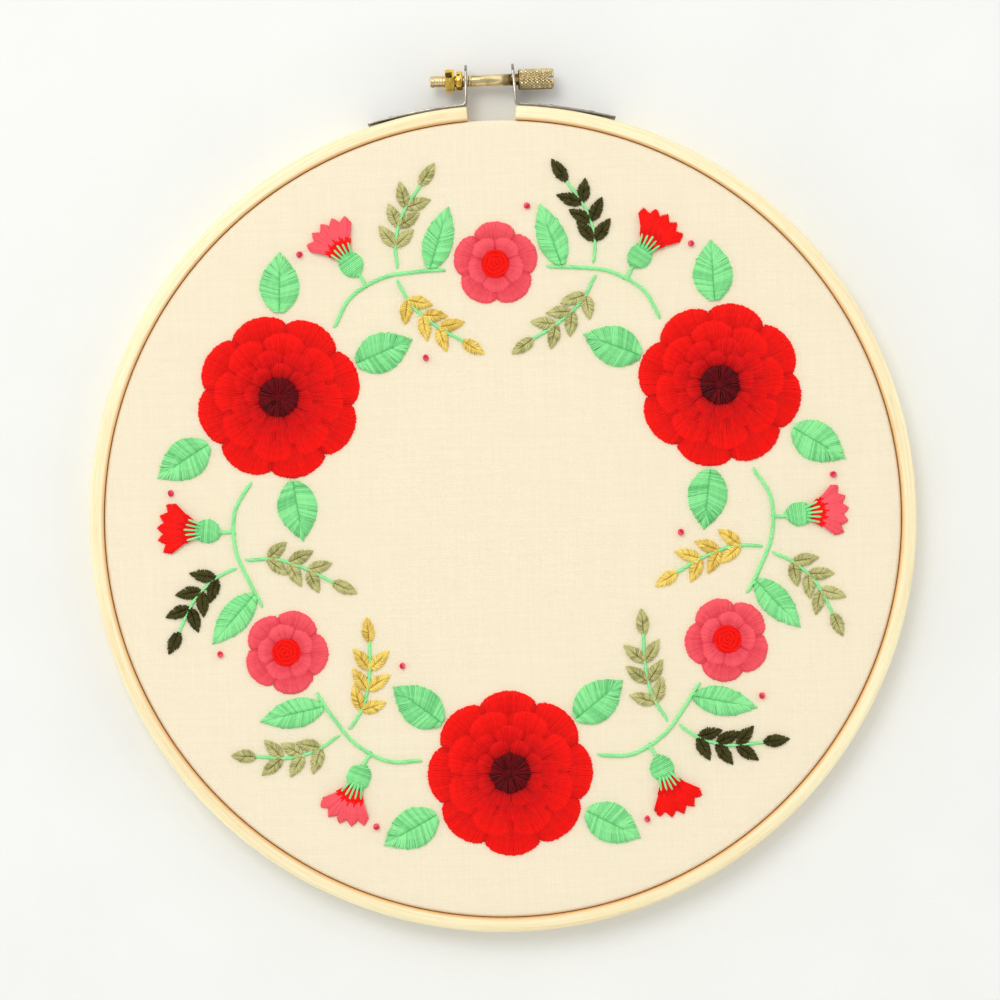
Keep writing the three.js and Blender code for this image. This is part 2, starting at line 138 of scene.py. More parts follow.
def add_node(tree, kind, inputs=None, **settings):
    """A node with its settings, its inputs linked to sockets or set to values."""
    node = tree.nodes.new(kind)
    for key, value in settings.items():
        setattr(node, key, value)
    for key, value in (inputs or {}).items():
        if isinstance(value, bpy.types.NodeSocket):
            tree.links.new(value, node.inputs[key])
        else:
            node.inputs[key].default_value = value
    return node


def output(tree, kind, inputs, **settings):
    """The first output of a new node."""
    return add_node(tree, kind, inputs, **settings).outputs[0]


def coordinates(tree, kind):
    return tree.nodes.new("ShaderNodeTexCoord").outputs[kind]


def maths(tree, operation, *values, clamp=False):
    return output(tree, "ShaderNodeMath", dict(enumerate(values)), operation=operation, use_clamp=clamp)


def measured(tree, operation, *vectors):
    """One number from vectors, such as a length."""
    inputs = dict(enumerate(vectors))
    return add_node(tree, "ShaderNodeVectorMath", inputs, operation=operation).outputs["Value"]


def spread(tree, value, low, high, to_low=0.0, to_high=1.0):
    """Maps a value from one range to another, held at its ends."""
    inputs = {"Value": value, "From Min": low, "From Max": high, "To Min": to_low, "To Max": to_high}
    return output(tree, "ShaderNodeMapRange", inputs)


def blend_colours(tree, factor, first, second, mode="MIX"):
    inputs = {0: factor, 6: first, 7: second}
    return add_node(tree, "ShaderNodeMix", inputs, data_type="RGBA", blend_type=mode).outputs[2]


def grain_noise(tree, vector, scales, detail=2.0, roughness=0.5):
    """Noise on coordinates stretched by the given scales."""
    stretched = output(tree, "ShaderNodeMapping", {"Vector": vector, "Scale": scales})
    inputs = {"Vector": stretched, "Scale": 1.0, "Detail": detail, "Roughness": roughness}
    return output(tree, "ShaderNodeTexNoise", inputs)


def new_group(name, inputs, outputs):
    """A shader node group with named sockets: (name, kind, value) in, (name, kind) out."""
    group = bpy.data.node_groups.new(name, "ShaderNodeTree")
    for socket_name, kind, value in inputs:
        socket = group.interface.new_socket(socket_name, in_out="INPUT", socket_type=f"NodeSocket{kind}")
        socket.default_value = value
    for socket_name, kind in outputs:
        group.interface.new_socket(socket_name, in_out="OUTPUT", socket_type=f"NodeSocket{kind}")
    return group, group.nodes.new("NodeGroupInput").outputs, group.nodes.new("NodeGroupOutput").inputs


def put_out(group, made, **sockets):
    """Links what a group has made to its outputs."""
    for name, socket in sockets.items():
        group.links.new(socket, made[name])
    return group


def new_material(name):
    """A material with only its Principled shader and its output."""
    material = bpy.data.materials.new(name)
    material.use_nodes = True
    return material, material.node_tree, material.node_tree.nodes["Principled BSDF"]


def set_inputs(shader, values):
    for key, value in values.items():
        shader.inputs[key].default_value = value


def relief(tree, shader, height, depth, strength):
    """Bump on a shader, its depth in metres."""
    bump = output(tree, "ShaderNodeBump", {"Height": height, "Distance": depth, "Strength": strength})
    tree.links.new(bump, shader.inputs["Normal"])


def surface(name, group, values, bump_depth, bump_strength=0.6):
    """A material with the colour, roughness and relief that a node group makes of the values."""
    material, tree, shader = new_material(name)
    source = add_node(tree, "ShaderNodeGroup", values, node_tree=group)
    tree.links.new(source.outputs["Colour"], shader.inputs["Base Color"])
    tree.links.new(source.outputs["Roughness"], shader.inputs["Roughness"])
    relief(tree, shader, source.outputs["Height"], bump_depth, bump_strength)
    return material, tree, shader


def lay_over(tree, shader, factor, colour, mode="MIX"):
    """Lays another colour over the one that a shader has."""
    under = shader.inputs["Base Color"].links[0].from_socket
    tree.links.new(blend_colours(tree, factor, under, colour, mode), shader.inputs["Base Color"])


SURFACE_OUTPUTS = [("Colour", "Color"), ("Roughness", "Float"), ("Height", "Float")]


def build_bamboo_grain():
    """Broad bands, fine fibres and short flecks that run along a strip."""
    tree, given, made = new_group(
        "bamboo grain",
        [("Pale", "Color", (1, 1, 1, 1)), ("Dark", "Color", (0.5, 0.4, 0.2, 1)), ("Fibre", "Float", 1.0)],
        SURFACE_OUTPUTS,
    )
    along = coordinates(tree, "UV")
    broad = grain_noise(tree, along, (9, 260, 1), detail=1)
    fibre = grain_noise(tree, along, (40, 1700, 1), detail=3)
    fleck = spread(tree, grain_noise(tree, along, (170, 4200, 1)), 0.6, 0.72)
    fibres = maths(tree, "MULTIPLY", spread(tree, fibre, 0.35, 0.7), given["Fibre"])
    shade = maths(tree, "MULTIPLY", spread(tree, broad, 0.35, 0.7), 0.35)
    shade = maths(tree, "ADD", shade, maths(tree, "MULTIPLY", fibres, 0.35))
    shade = maths(tree, "ADD", shade, maths(tree, "MULTIPLY", fleck, 0.4), clamp=True)
    return put_out(
        tree,
        made,
        Colour=blend_colours(tree, shade, given["Pale"], given["Dark"]),
        Roughness=spread(tree, fibre, 0.3, 0.7, 0.36, 0.5),
        Height=maths(tree, "SUBTRACT", fibre, fleck),
    )


bamboo_grain = build_bamboo_grain()


def bamboo(name, pale, dark, edge=None):
    """Varnished bamboo. An edge is a colour and the two radii that it sets in between, in millimetres: a
    painted shade, multiplied in towards the inner rim.
    """
    material, tree, shader = surface(name, bamboo_grain, {"Pale": pale, "Dark": dark}, 0.00006, 0.5)
    if edge:
        edge_shade, start, end = edge
        centred = {
            "Vector": coordinates(tree, "Object"),
            "Location": (0, -HOOP_CENTRE_Y * MM, 0),
            "Scale": (1, 1, 0),
        }
        radius = measured(tree, "LENGTH", output(tree, "ShaderNodeMapping", centred))
        # Painted shade along the hoop's inner edge, where it meets the cloth.
        edge_shade = blend_colours(tree, spread(tree, radius, start * MM, end * MM), (1, 1, 1, 1), edge_shade)
        lay_over(tree, shader, 1.0, edge_shade, "MULTIPLY")
    set_inputs(shader, {"Coat Weight": 0.3, "Coat Roughness": 0.22})
    return material


def fit(piece, node, body="hoop"):
    """The piece stands for a CAD node, which it hides, and moves with a body."""
    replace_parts(piece, node)
    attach(piece, body)


inner_section = eased_section(INNER_BORE, INNER_RADIUS, INNER_HEIGHT, (0.5, 0.8, 0.8, 0.7))
whole_turn = [(2 * math.pi * i / RING_STATIONS - math.pi / 2, 1.0) for i in range(RING_STATIONS)]
inner_hoop = bent_strip("inner_hoop", inner_section, whole_turn, closed=True)
inner_hoop.data.materials.append(bamboo("inner bamboo", colour_of(248, 238, 190), colour_of(228, 192, 134)))
fit(inner_hoop, "inner_ring")

# The ground cloth
# A disc of plain-woven cotton, pulled drum-tight over the inner hoop and turned down its outer side.
# It's trimmed by hand just above the hoop's back edge, so the edge wanders a little.

CLOTH_TOP = 9.0
CLOTH_THICK = 0.45
CLOTH_REACH = 101.72
CLOTH_BEND = 1.0
CLOTH_RINGS = 30
CLOTH_SPOKES = 216
CLOTH_STEPS = 5
CLOTH_RIPPLE = 0.06
CLOTH_EDGE, CLOTH_WANDER = 0.95, 0.45
THREAD_SPACING = 0.00042


def cloth_profile(spoke_angle):
    """Points across the cloth, each (radius, height, underside radius, underside height, way run)."""
    edge_of_flat = CLOTH_REACH - CLOTH_BEND
    profile = []
    for i in range(1, CLOTH_RINGS + 1):
        radius = edge_of_flat * i / CLOTH_RINGS
        place = Vector((radius * math.cos(spoke_angle), radius * math.sin(spoke_angle), 3.0)) * 0.11
        rise = CLOTH_RIPPLE * noise.noise(place) * min(1, (edge_of_flat - radius) / 8)
        profile.append((radius, CLOTH_TOP + rise, radius, CLOTH_TOP - CLOTH_THICK + rise, radius))
    inside_bend = CLOTH_BEND - CLOTH_THICK
    middle_z = CLOTH_TOP - CLOTH_BEND
    for i in range(1, CLOTH_STEPS + 1):
        turn = math.pi / 2 * i / CLOTH_STEPS
        outer = (edge_of_flat + CLOTH_BEND * math.sin(turn), middle_z + CLOTH_BEND * math.cos(turn))
        inner = (edge_of_flat + inside_bend * math.sin(turn), middle_z + inside_bend * math.cos(turn))
        profile.append((*outer, *inner, edge_of_flat + CLOTH_BEND * turn))
    way = profile[-1][4]
    wander = noise.noise(Vector((math.cos(spoke_angle), math.sin(spoke_angle), 0)) * 9)
    edge = CLOTH_EDGE + CLOTH_WANDER * wander
    for i in range(1, CLOTH_STEPS + 1):
        height = middle_z + (edge - middle_z) * i / CLOTH_STEPS
        profile.append((CLOTH_REACH, height, CLOTH_REACH - CLOTH_THICK, height, way + middle_z - height))
    return profile


cloth_points = [(0, HOOP_CENTRE_Y, CLOTH_TOP), (0, HOOP_CENTRE_Y, CLOTH_TOP - CLOTH_THICK)]
cloth_flat = [(0.0, 0.0), (0.0, 0.0)]
for spoke in range(CLOTH_SPOKES):
    spoke_angle = 2 * math.pi * spoke / CLOTH_SPOKES
    across, up = math.cos(spoke_angle), math.sin(spoke_angle)
    spoke_profile = cloth_profile(spoke_angle)
    for radius, height, under_radius, under_height, way in spoke_profile:
        cloth_points.append((radius * across, HOOP_CENTRE_Y + radius * up, height))
        cloth_points.append((under_radius * across, HOOP_CENTRE_Y + under_radius * up, under_height))
        cloth_flat += [(way * across * MM, way * up * MM)] * 2
cloth_rows = len(spoke_profile)
cloth_faces = []
for spoke in range(CLOTH_SPOKES):
    here = 2 + 2 * cloth_rows * spoke
    beside = 2 + 2 * cloth_rows * ((spoke + 1) % CLOTH_SPOKES)
    cloth_faces += [(0, here, beside), (1, beside + 1, here + 1)]
    for row in range(cloth_rows - 1):
        a, b = here + 2 * row, beside + 2 * row
        cloth_faces += [(a, a + 2, b + 2, b), (b + 1, b + 3, a + 3, a + 1)]
    a, b = here + 2 * (cloth_rows - 1), beside + 2 * (cloth_rows - 1)
    cloth_faces.append((a, a + 1, b + 1, b))
ground_cloth = mesh_object(
    "ground_cloth", cloth_points, cloth_faces, [cloth_flat[corner] for face in cloth_faces for corner in face]
)

def build_plain_weave():
    """Warp and weft that cross over and under, with thick and thin places in the threads."""
    tree, given, made = new_group(
        "plain weave",
        [("Pitch", "Float", 0.0004), ("Slub", "Float", 0.5)],
        [("Height", "Float"), ("Gap", "Float"), ("Tone", "Float")],
    )
    place = coordinates(tree, "UV")
    wobble = grain_noise(tree, place, (420, 420, 1), detail=2)
    flat_xyz = add_node(tree, "ShaderNodeSeparateXYZ", {0: place}).outputs
    waves = []
    for axis in (0, 1):
        turns = maths(tree, "DIVIDE", flat_xyz[axis], given["Pitch"])
        turns = maths(tree, "ADD", turns, maths(tree, "MULTIPLY", wobble, 1.2))
        waves.append(maths(tree, "SINE", maths(tree, "MULTIPLY", turns, math.pi)))
    over = maths(tree, "GREATER_THAN", maths(tree, "MULTIPLY", *waves), 0.0)
    warp, weft = [maths(tree, "ABSOLUTE", wave) for wave in waves]
    warp_over = maths(tree, "MULTIPLY", warp, maths(tree, "POWER", weft, 0.35))
    weft_over = maths(tree, "MULTIPLY", weft, maths(tree, "POWER", warp, 0.35))
    lift = maths(tree, "SUBTRACT", warp_over, weft_over)
    height = maths(tree, "MULTIPLY_ADD", lift, over, weft_over)
    slubs = [grain_noise(tree, place, scales, detail=1) for scales in ((1300, 45, 1), (45, 1300, 1))]
    slub = maths(tree, "MULTIPLY", maths(tree, "ADD", *slubs), given["Slub"])
    return put_out(
        tree, made, Height=maths(tree, "ADD", height, slub), Gap=spread(tree, height, 0.5, 0.05), Tone=slub
    )


cotton, cotton_tree, cotton_shader = new_material("ground cotton")
weave = add_node(cotton_tree, "ShaderNodeGroup", {"Pitch": THREAD_SPACING}, node_tree=build_plain_weave())
slubbed = spread(cotton_tree, weave.outputs["Tone"], 0.3, 0.7)
ecru = blend_colours(cotton_tree, slubbed, colour_of(245, 232, 202), colour_of(248, 237, 210))
# Painted shade: the cloth darkens to a tan where the weave sinks between threads.
gap_shade = maths(cotton_tree, "MULTIPLY", weave.outputs["Gap"], 0.22)
cotton_tone = blend_colours(cotton_tree, gap_shade, ecru, colour_of(222, 198, 156))
cotton_tree.links.new(cotton_tone, cotton_shader.inputs["Base Color"])
relief(cotton_tree, cotton_shader, weave.outputs["Height"], 0.00009, 0.7)
set_inputs(cotton_shader, {"Roughness": 0.9, "Sheen Weight": 0.15, "Sheen Roughness": 0.5})
ground_cloth.data.materials.append(cotton)
cloth_way = cloth_profile(0)[-1][4] * MM
fit(ground_cloth, "cloth")

# The outer hoop
# A second bamboo strip, bent round the cloth and left open at the top, where the clamp draws it shut.
# Its upper outside edge is well rounded, and its two cut ends are eased.

OUTER_BORE = 101.86
OUTER_HEIGHT = 9.5
SPLIT_HALF = 6.2
SPLIT_RADIUS = 103.8
EASED_END = 0.0045
END_STATIONS = [(0.0, 0.9), (0.0007, 0.95), (0.002, 0.982), (EASED_END, 1.0)]
# A painted shade: the outer hoop darkens to this colour towards its inner edge, beside the cloth.
SEAM_SHADE_EDGE = (colour_of(236, 190, 142), 102.7, 102.0)

outer_section = eased_section(OUTER_BORE, HOOP_RADIUS, OUTER_HEIGHT, (1.1, 1.3, 0.7, 0.8), steps=5)
half_split = math.asin(SPLIT_HALF / SPLIT_RADIUS)
first_angle = math.pi / 2 + half_split
last_angle = math.pi / 2 + 2 * math.pi - half_split
open_way = last_angle - first_angle - 2 * EASED_END
outer_stations = [(first_angle + step, size) for step, size in END_STATIONS]
outer_stations += [
    (first_angle + EASED_END + open_way * i / RING_STATIONS, 1.0) for i in range(1, RING_STATIONS)
]
outer_stations += [(last_angle - step, size) for step, size in reversed(END_STATIONS)]
outer_hoop = bent_strip("outer_hoop", outer_section, outer_stations, closed=False)
outer_bamboo = bamboo("outer bamboo", colour_of(250, 243, 201), colour_of(234, 201, 144), SEAM_SHADE_EDGE)
outer_hoop.data.materials.append(outer_bamboo)
fit(outer_hoop, "outer_ring")

# The clamp's two brackets
# Flat nickel-plated steel strips, sprung along the outer hoop, with one end turned up as an ear.
# The screw goes through the ears, and two small domed rivets hold each strip to the bamboo.

STRIP_THICK = 0.66
STRIP_RISE = 0.42
STRIP_WIDTH = 7.0
STRIP_LENGTH = 24.0
STRIP_LIFT = 0.45
EAR_BEND = 1.3
EAR_TIP = 4.1
EAR_TOP = HOOP_RADIUS + 10.8
SCREW_Y = 112.3
MID_HEIGHT = 4.75
HOLE_RADIUS = 1.95
SCREW_LINE_Y = HOOP_CENTRE_Y + SCREW_Y
LINE_STEPS = 28
BEND_STEPS = 8
RIVET_STATIONS = (7, 19)
RIVET_RADIUS = 1.15 * MM
# Each bracket: its side, how far out its ear stands and how many degrees the ear leans.
BRACKETS = {"bracket_right": (1, 6.4, 4.2), "bracket_left": (-1, 6.35, 0.8)}


def bracket_line(ear_at, lean):
    """The bracket's middle line from its tip to the top of its ear, beside the hoop's centre."""
    radius = HOOP_RADIUS + STRIP_RISE
    foot = ear_at + EAR_BEND
    line = []
    for i in range(LINE_STEPS + 1):
        rest = 1 - i / LINE_STEPS
        x = foot + STRIP_LENGTH * rest
        line.append((x, math.sqrt((radius + STRIP_LIFT * rest**3) ** 2 - x**2)))
    end_x, end_y = line[-1]
    for i in range(1, BEND_STEPS + 1):
        angle = math.radians((90 + lean) * i / BEND_STEPS)
        line.append((end_x - EAR_BEND * math.sin(angle), end_y + EAR_BEND * (1 - math.cos(angle))))
    bent_x, bent_y = line[-1]
    rise = EAR_TOP - bent_y
    line.append((bent_x - rise * math.tan(math.radians(lean)), bent_y + rise))
    return line


def settle(piece):
    """Gives a piece the mesh that its modifiers make of it, and takes the modifiers off."""
    graph = bpy.context.evaluated_depsgraph_get()
    shown = piece.evaluated_get(graph)
    mesh = bpy.data.meshes.new_from_object(shown, preserve_all_data_layers=True, depsgraph=graph)
    piece.modifiers.clear()
    piece.data = mesh


def round_bar(name, radius, start, end, segments=48, turn=0):
    """A plain bar along the screw's line, round or with few sides, used as a cutter."""
    points = []
    for x in (start, end):
        for i in range(segments):
            angle = 2 * math.pi * i / segments + turn
            y, z = radius * math.cos(angle), radius * math.sin(angle)
            points.append((x, SCREW_LINE_Y + y, MID_HEIGHT + z))
    faces = [tuple(range(segments)), tuple(range(segments, 2 * segments))]
    faces += [(i, (i + 1) % segments, segments + (i + 1) % segments, segments + i) for i in range(segments)]
    bar = mesh_object(name, points, faces)
    face_outwards(bar)
    return bar


def block(name, low, high):
    """A plain block between two corners, used as a cutter."""
    corners = [(x, y, z) for x in (low[0], high[0]) for y in (low[1], high[1]) for z in (low[2], high[2])]
    sides = [(0, 1, 3, 2), (4, 6, 7, 5), (0, 4, 5, 1), (2, 3, 7, 6), (0, 2, 6, 4), (1, 5, 7, 3)]
    cutter = mesh_object(name, corners, sides)
    face_outwards(cutter)
    return cutter


def trim(piece, operation, *cutters):
    """Cuts a piece with cutters, or keeps what they share, and throws the cutters away."""
    for cutter in cutters:
        cut = piece.modifiers.new("cut", "BOOLEAN")
        cut.operation = operation
        cut.solver = "EXACT"
        cut.object = cutter
    settle(piece)
    for cutter in cutters:
        bpy.data.objects.remove(cutter)


def ease_edges(piece, width, angle=35):
    """Rounds the sharp edges of a piece by a width in millimetres."""
    ease = piece.modifiers.new("ease", "BEVEL")
    ease.width = width * MM
    ease.segments = 2
    ease.limit_method = "ANGLE"
    ease.angle_limit = math.radians(angle)
    ease.harden_normals = False
    settle(piece)
    for polygon in piece.data.polygons:
        polygon.use_smooth = True
    piece.data.set_sharp_from_angle(angle=math.radians(40))


def bracket(name, side, ear_at, lean):
    """A strip along its line, filed thinner towards its tip, with its ear rounded and bored."""
    line = bracket_line(ear_at, lean)
    sides = []
    for half_thick in (STRIP_THICK / 2, -STRIP_THICK / 2):
        row = []
        for i, (x, y) in enumerate(line):
            offset = half_thick * min(1, 0.68 + 0.32 * i / 12)
            ahead, behind = line[min(i + 1, len(line) - 1)], line[max(i - 1, 0)]
            along = Vector((ahead[0] - behind[0], ahead[1] - behind[1])).normalized()
            row.append((x - along.y * offset, y + along.x * offset))
        sides.append(row)
    outline = sides[0] + sides[1][::-1]
    half = STRIP_WIDTH / 2
    points = [(side * x, HOOP_CENTRE_Y + y, MID_HEIGHT + z) for z in (-half, half) for x, y in outline]
    count = len(outline)
    faces = [(i, (i + 1) % count, count + (i + 1) % count, count + i) for i in range(count)]
    for start in (0, count):
        end = start + count - 1
        faces += [(start + i, start + i + 1, end - i - 1, end - i) for i in range(len(line) - 1)]
    strip = mesh_object(name, points, faces)
    face_outwards(strip)
    ear = round_bar("ear top", EAR_TIP, -90, 90, 64)
    trim(ear, "UNION", block("below", (-90, 60, -9), (90, SCREW_LINE_Y, 19)))
    trim(strip, "INTERSECT", ear)
    trim(strip, "DIFFERENCE", round_bar("hole", HOLE_RADIUS, -90, 90))
    ease_edges(strip, 0.13)
    return strip


def build_metal_wear():
    """Cloudy tarnish and short scuffs over a bare metal."""
    tree, given, made = new_group(
        "metal wear",
        [("Clean", "Color", (1, 1, 1, 1)), ("Dull", "Color", (0.4, 0.4, 0.4, 1)), ("Shine", "Float", 0.2)],
        SURFACE_OUTPUTS,
    )
    place = coordinates(tree, "Object")
    cloud = grain_noise(tree, place, (420, 420, 420), detail=5, roughness=0.65)
    scuff = grain_noise(tree, place, (900, 5200, 2600), detail=3)
    scuffs = spread(tree, scuff, 0.5, 0.7)
    tarnish = maths(tree, "MULTIPLY", spread(tree, cloud, 0.4, 0.75), 0.6)
    dulled = maths(tree, "MULTIPLY_ADD", scuffs, 0.2, tarnish, clamp=True)
    return put_out(
        tree,
        made,
        Colour=blend_colours(tree, dulled, given["Clean"], given["Dull"]),
        Roughness=maths(tree, "MULTIPLY_ADD", dulled, 0.28, given["Shine"]),
        Height=maths(tree, "MULTIPLY_ADD", cloud, 0.4, scuff),
    )


metal_wear = build_metal_wear()


def worn_metal(name, clean, dull, shine):
    material, tree, shader = surface(
        name, metal_wear, {"Clean": clean, "Dull": dull, "Shine": shine}, bump_depth=0.00002
    )
    set_inputs(shader, {"Metallic": 1.0})
    return material, tree, shader


def recover(piece, material):
    """Gives a piece one material in place of those that its making left."""
    piece.data.materials.clear()
    piece.data.materials.append(material)


plated_steel = worn_metal("plated steel", colour_of(168, 162, 150), colour_of(88, 82, 72), 0.26)[0]
for name, shape in BRACKETS.items():
    strip = bracket(name + "_strip", *shape)
    recover(strip, plated_steel)
    fit(strip, name)


def new_tree(name, inputs):
    """A geometry tree with named inputs: (name, kind, value). It gives back their identifiers too."""
    tree = bpy.data.node_groups.new(name, "GeometryNodeTree")
    tree.interface.new_socket("Geometry", in_out="INPUT", socket_type="NodeSocketGeometry")
    identifiers = {}
    for socket_name, kind, value in inputs:
        socket = tree.interface.new_socket(socket_name, in_out="INPUT", socket_type=f"NodeSocket{kind}")
        if value is not None:
            socket.default_value = value
        identifiers[socket_name] = socket.identifier
    tree.interface.new_socket("Geometry", in_out="OUTPUT", socket_type="NodeSocketGeometry")
    given, made = tree.nodes.new("NodeGroupInput").outputs, tree.nodes.new("NodeGroupOutput").inputs
    return tree, given, made, identifiers


def grow(piece, tree, identifiers, values):
    """Runs a geometry tree on a piece with the given inputs and keeps the mesh that it makes."""
    modifier = piece.modifiers.new(tree.name, "NODES")
    modifier.node_group = tree
    for key, value in values.items():
        modifier[identifiers[key]] = value
    settle(piece)


def build_rivets():
    """A low dome on each point, turned to the way that the point's attribute gives."""
    tree, given, made, identifiers = new_tree(
        "domed rivets", [("Radius", "Float", 0.001), ("Dome", "Float", 0.5), ("Steel", "Material", None)]
    )
    dome = output(tree, "GeometryNodeMeshUVSphere", {"Segments": 20, "Rings": 12, "Radius": given["Radius"]})
    size = output(tree, "ShaderNodeCombineXYZ", {0: 1.0, 1: 1.0, 2: given["Dome"]})
    dome = output(tree, "GeometryNodeTransform", {"Geometry": dome, "Scale": size})
    way = output(tree, "GeometryNodeInputNamedAttribute", {"Name": "outwards"}, data_type="FLOAT_VECTOR")
    turn = output(tree, "FunctionNodeAlignRotationToVector", {"Vector": way}, axis="Z")
    copies = {"Points": given["Geometry"], "Instance": dome, "Rotation": turn}
    domes = output(tree, "GeometryNodeInstanceOnPoints", copies)
    domes = output(tree, "GeometryNodeRealizeInstances", {0: domes})
    domes = output(tree, "GeometryNodeSetMaterial", {"Geometry": domes, "Material": given["Steel"]})
    tree.links.new(domes, made[0])
    return tree, identifiers


rivet_tree, rivet_inputs = build_rivets()
for name, (side, ear_at, lean) in BRACKETS.items():
    line = bracket_line(ear_at, lean)
    places, ways = [], []
    for station in RIVET_STATIONS:
        (x, y), (ahead_x, ahead_y) = line[station], line[station + 1]
        along = Vector((ahead_x - x, ahead_y - y)).normalized()
        out = Vector((side * along.y, -along.x, 0))
        out = -out if out.y < 0 else out
        spot = Vector((side * x, HOOP_CENTRE_Y + y, MID_HEIGHT)) + out * STRIP_THICK * 0.45
        places.append(spot * MM)
        ways.append(out)
    rivet_mesh = bpy.data.meshes.new(name + "_strip_rivets")
    rivet_mesh.from_pydata(places, [], [])
    layer = rivet_mesh.attributes.new("outwards", "FLOAT_VECTOR", "POINT")
    for row, way in zip(layer.data, ways):
        row.vector = way
    rivets = new_object(rivet_mesh.name, rivet_mesh)
    grow(rivets, rivet_tree, rivet_inputs, {"Radius": RIVET_RADIUS, "Dome": 0.42, "Steel": plated_steel})
    recover(rivets, plated_steel)
    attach(rivets, "hoop")

# The thumbscrew, its nut and its collar
# Turned brass. The screw's barrel is diamond-knurled and slotted, and its tail is threaded.
# The hex nut and a plain collar sit on the tail, outside the left ear.

SHAFT_RADIUS = 1.55
BARREL_RADIUS = 2.7
BARREL_START, BARREL_END = 7.1, 16.2
TAIL_END = -15.5
THREAD_PITCH = 0.7
THREAD_DEPTH = 0.17
THREAD_END = -4.6
KNURLS = 20
KNURL_LEAD = 0.86
KNURL_DEPTH = 0.26
KNURL_ROWS = 56
SLOT_DEPTH = 1.3
SLOT_HALF = 0.45
NUT_ACROSS = 5.5
NUT_TURN = math.radians(20)


def turned_on_screw(name, profile, segments, radius_at=None):
    """Turns (x, radius) points about the screw's axis, closed at both ends."""
    points = []
    for x, radius in profile:
        for i in range(segments):
            angle = 2 * math.pi * i / segments
            reach = radius_at(x, radius, angle) if radius_at else radius
            points.append((x, reach * math.cos(angle), reach * math.sin(angle)))
    points += [(profile[0][0], 0, 0), (profile[-1][0], 0, 0)]
    faces = []
    for near in range(0, segments * (len(profile) - 1), segments):
        for i in range(segments):
            j = (i + 1) % segments
            faces.append((near + i, near + j, near + segments + j, near + segments + i))
    start, end, far = len(points) - 2, len(points) - 1, (len(profile) - 1) * segments
    faces += [(start, (i + 1) % segments, i) for i in range(segments)]
    faces += [(end, far + i, far + (i + 1) % segments) for i in range(segments)]
    piece = mesh_object(name, [(x, SCREW_LINE_Y + y, MID_HEIGHT + z) for x, y, z in points], faces)
    face_outwards(piece)
    return piece


def saw(value):
    """A wave of straight lines between 0 and 1."""
    return abs(2 * (value - math.floor(value)) - 1)


def threaded(x, radius, angle):
    """The shaft with its thread, which fades in and out."""
    fade = min(1, max(0, (x - TAIL_END - 0.3) / 0.5), max(0, (THREAD_END - x) / 0.6))
    return radius - THREAD_DEPTH * fade * saw(x / THREAD_PITCH + angle / (2 * math.pi)) ** 1.3


def knurled(x, radius, angle):
    """The barrel, cut by two crossing sets of grooves."""
    if radius < BARREL_RADIUS - 0.02:
        return radius
    around = KNURLS * angle / (2 * math.pi)
    lead = KNURL_LEAD * KNURLS * (x - BARREL_START) / (2 * math.pi * BARREL_RADIUS)
    groove = max(saw(around + lead), saw(around - lead))
    return radius - KNURL_DEPTH * max(0, groove - 0.3) / 0.7


shaft_profile = [(TAIL_END, 1.15), (TAIL_END + 0.12, 1.3), (TAIL_END + 0.35, SHAFT_RADIUS)]
shaft_profile += [(TAIL_END + 0.35 + 0.115 * i, SHAFT_RADIUS) for i in range(1, 96)]
shaft_profile += [(-3.0, SHAFT_RADIUS - 0.05), (BARREL_START + 0.3, SHAFT_RADIUS - 0.05)]
thumbscrew = turned_on_screw("screw_shaft", shaft_profile, 22, threaded)
knurl_start, knurl_end = BARREL_START + 0.45, BARREL_END - 0.45
barrel_profile = [(BARREL_START, 2.3), (BARREL_START + 0.12, 2.5), (BARREL_START + 0.4, BARREL_RADIUS - 0.03)]
barrel_profile += [
    (knurl_start + (knurl_end - knurl_start) * i / KNURL_ROWS, BARREL_RADIUS) for i in range(KNURL_ROWS + 1)
]
barrel_profile += [(BARREL_END - 0.4, BARREL_RADIUS - 0.03), (BARREL_END - 0.12, 2.5), (BARREL_END, 2.25)]
barrel = turned_on_screw("screw_barrel", barrel_profile, KNURLS * 6, knurled)
slot_low = (BARREL_END - SLOT_DEPTH, SCREW_LINE_Y - SLOT_HALF, MID_HEIGHT - 4)
slot_high = (BARREL_END + 1, SCREW_LINE_Y + SLOT_HALF, MID_HEIGHT + 4)
trim(barrel, "DIFFERENCE", block("slot", slot_low, slot_high))
barrel.data.set_sharp_from_angle(angle=math.radians(30))
merged = bmesh.new()
merged.from_mesh(thumbscrew.data)
merged.from_mesh(barrel.data)
merged.to_mesh(thumbscrew.data)
merged.free()
bpy.data.objects.remove(barrel)

nut = turned_on_screw("hex_nut", [(-11.6, 2.72), (-11.25, 3.2), (-9.55, 3.2), (-9.2, 2.72)], 48)
hexagon = round_bar("hexagon", NUT_ACROSS / math.sqrt(3), -12.2, -8.6, segments=6, turn=NUT_TURN)
trim(nut, "INTERSECT", hexagon)
trim(nut, "DIFFERENCE", round_bar("bore", HOLE_RADIUS - 0.1, -13, -8))
ease_edges(nut, 0.1, angle=25)

collar_profile = [(-8.75, 2.2), (-8.7, 2.4), (-8.5, 2.5), (-7.4, 2.5), (-7.2, 2.4), (-7.15, 2.2)]
collar = turned_on_screw("plain_collar", collar_profile, 48)
trim(collar, "DIFFERENCE", round_bar("bore", HOLE_RADIUS - 0.1, -10, -6))
collar.data.set_sharp_from_angle(angle=math.radians(40))

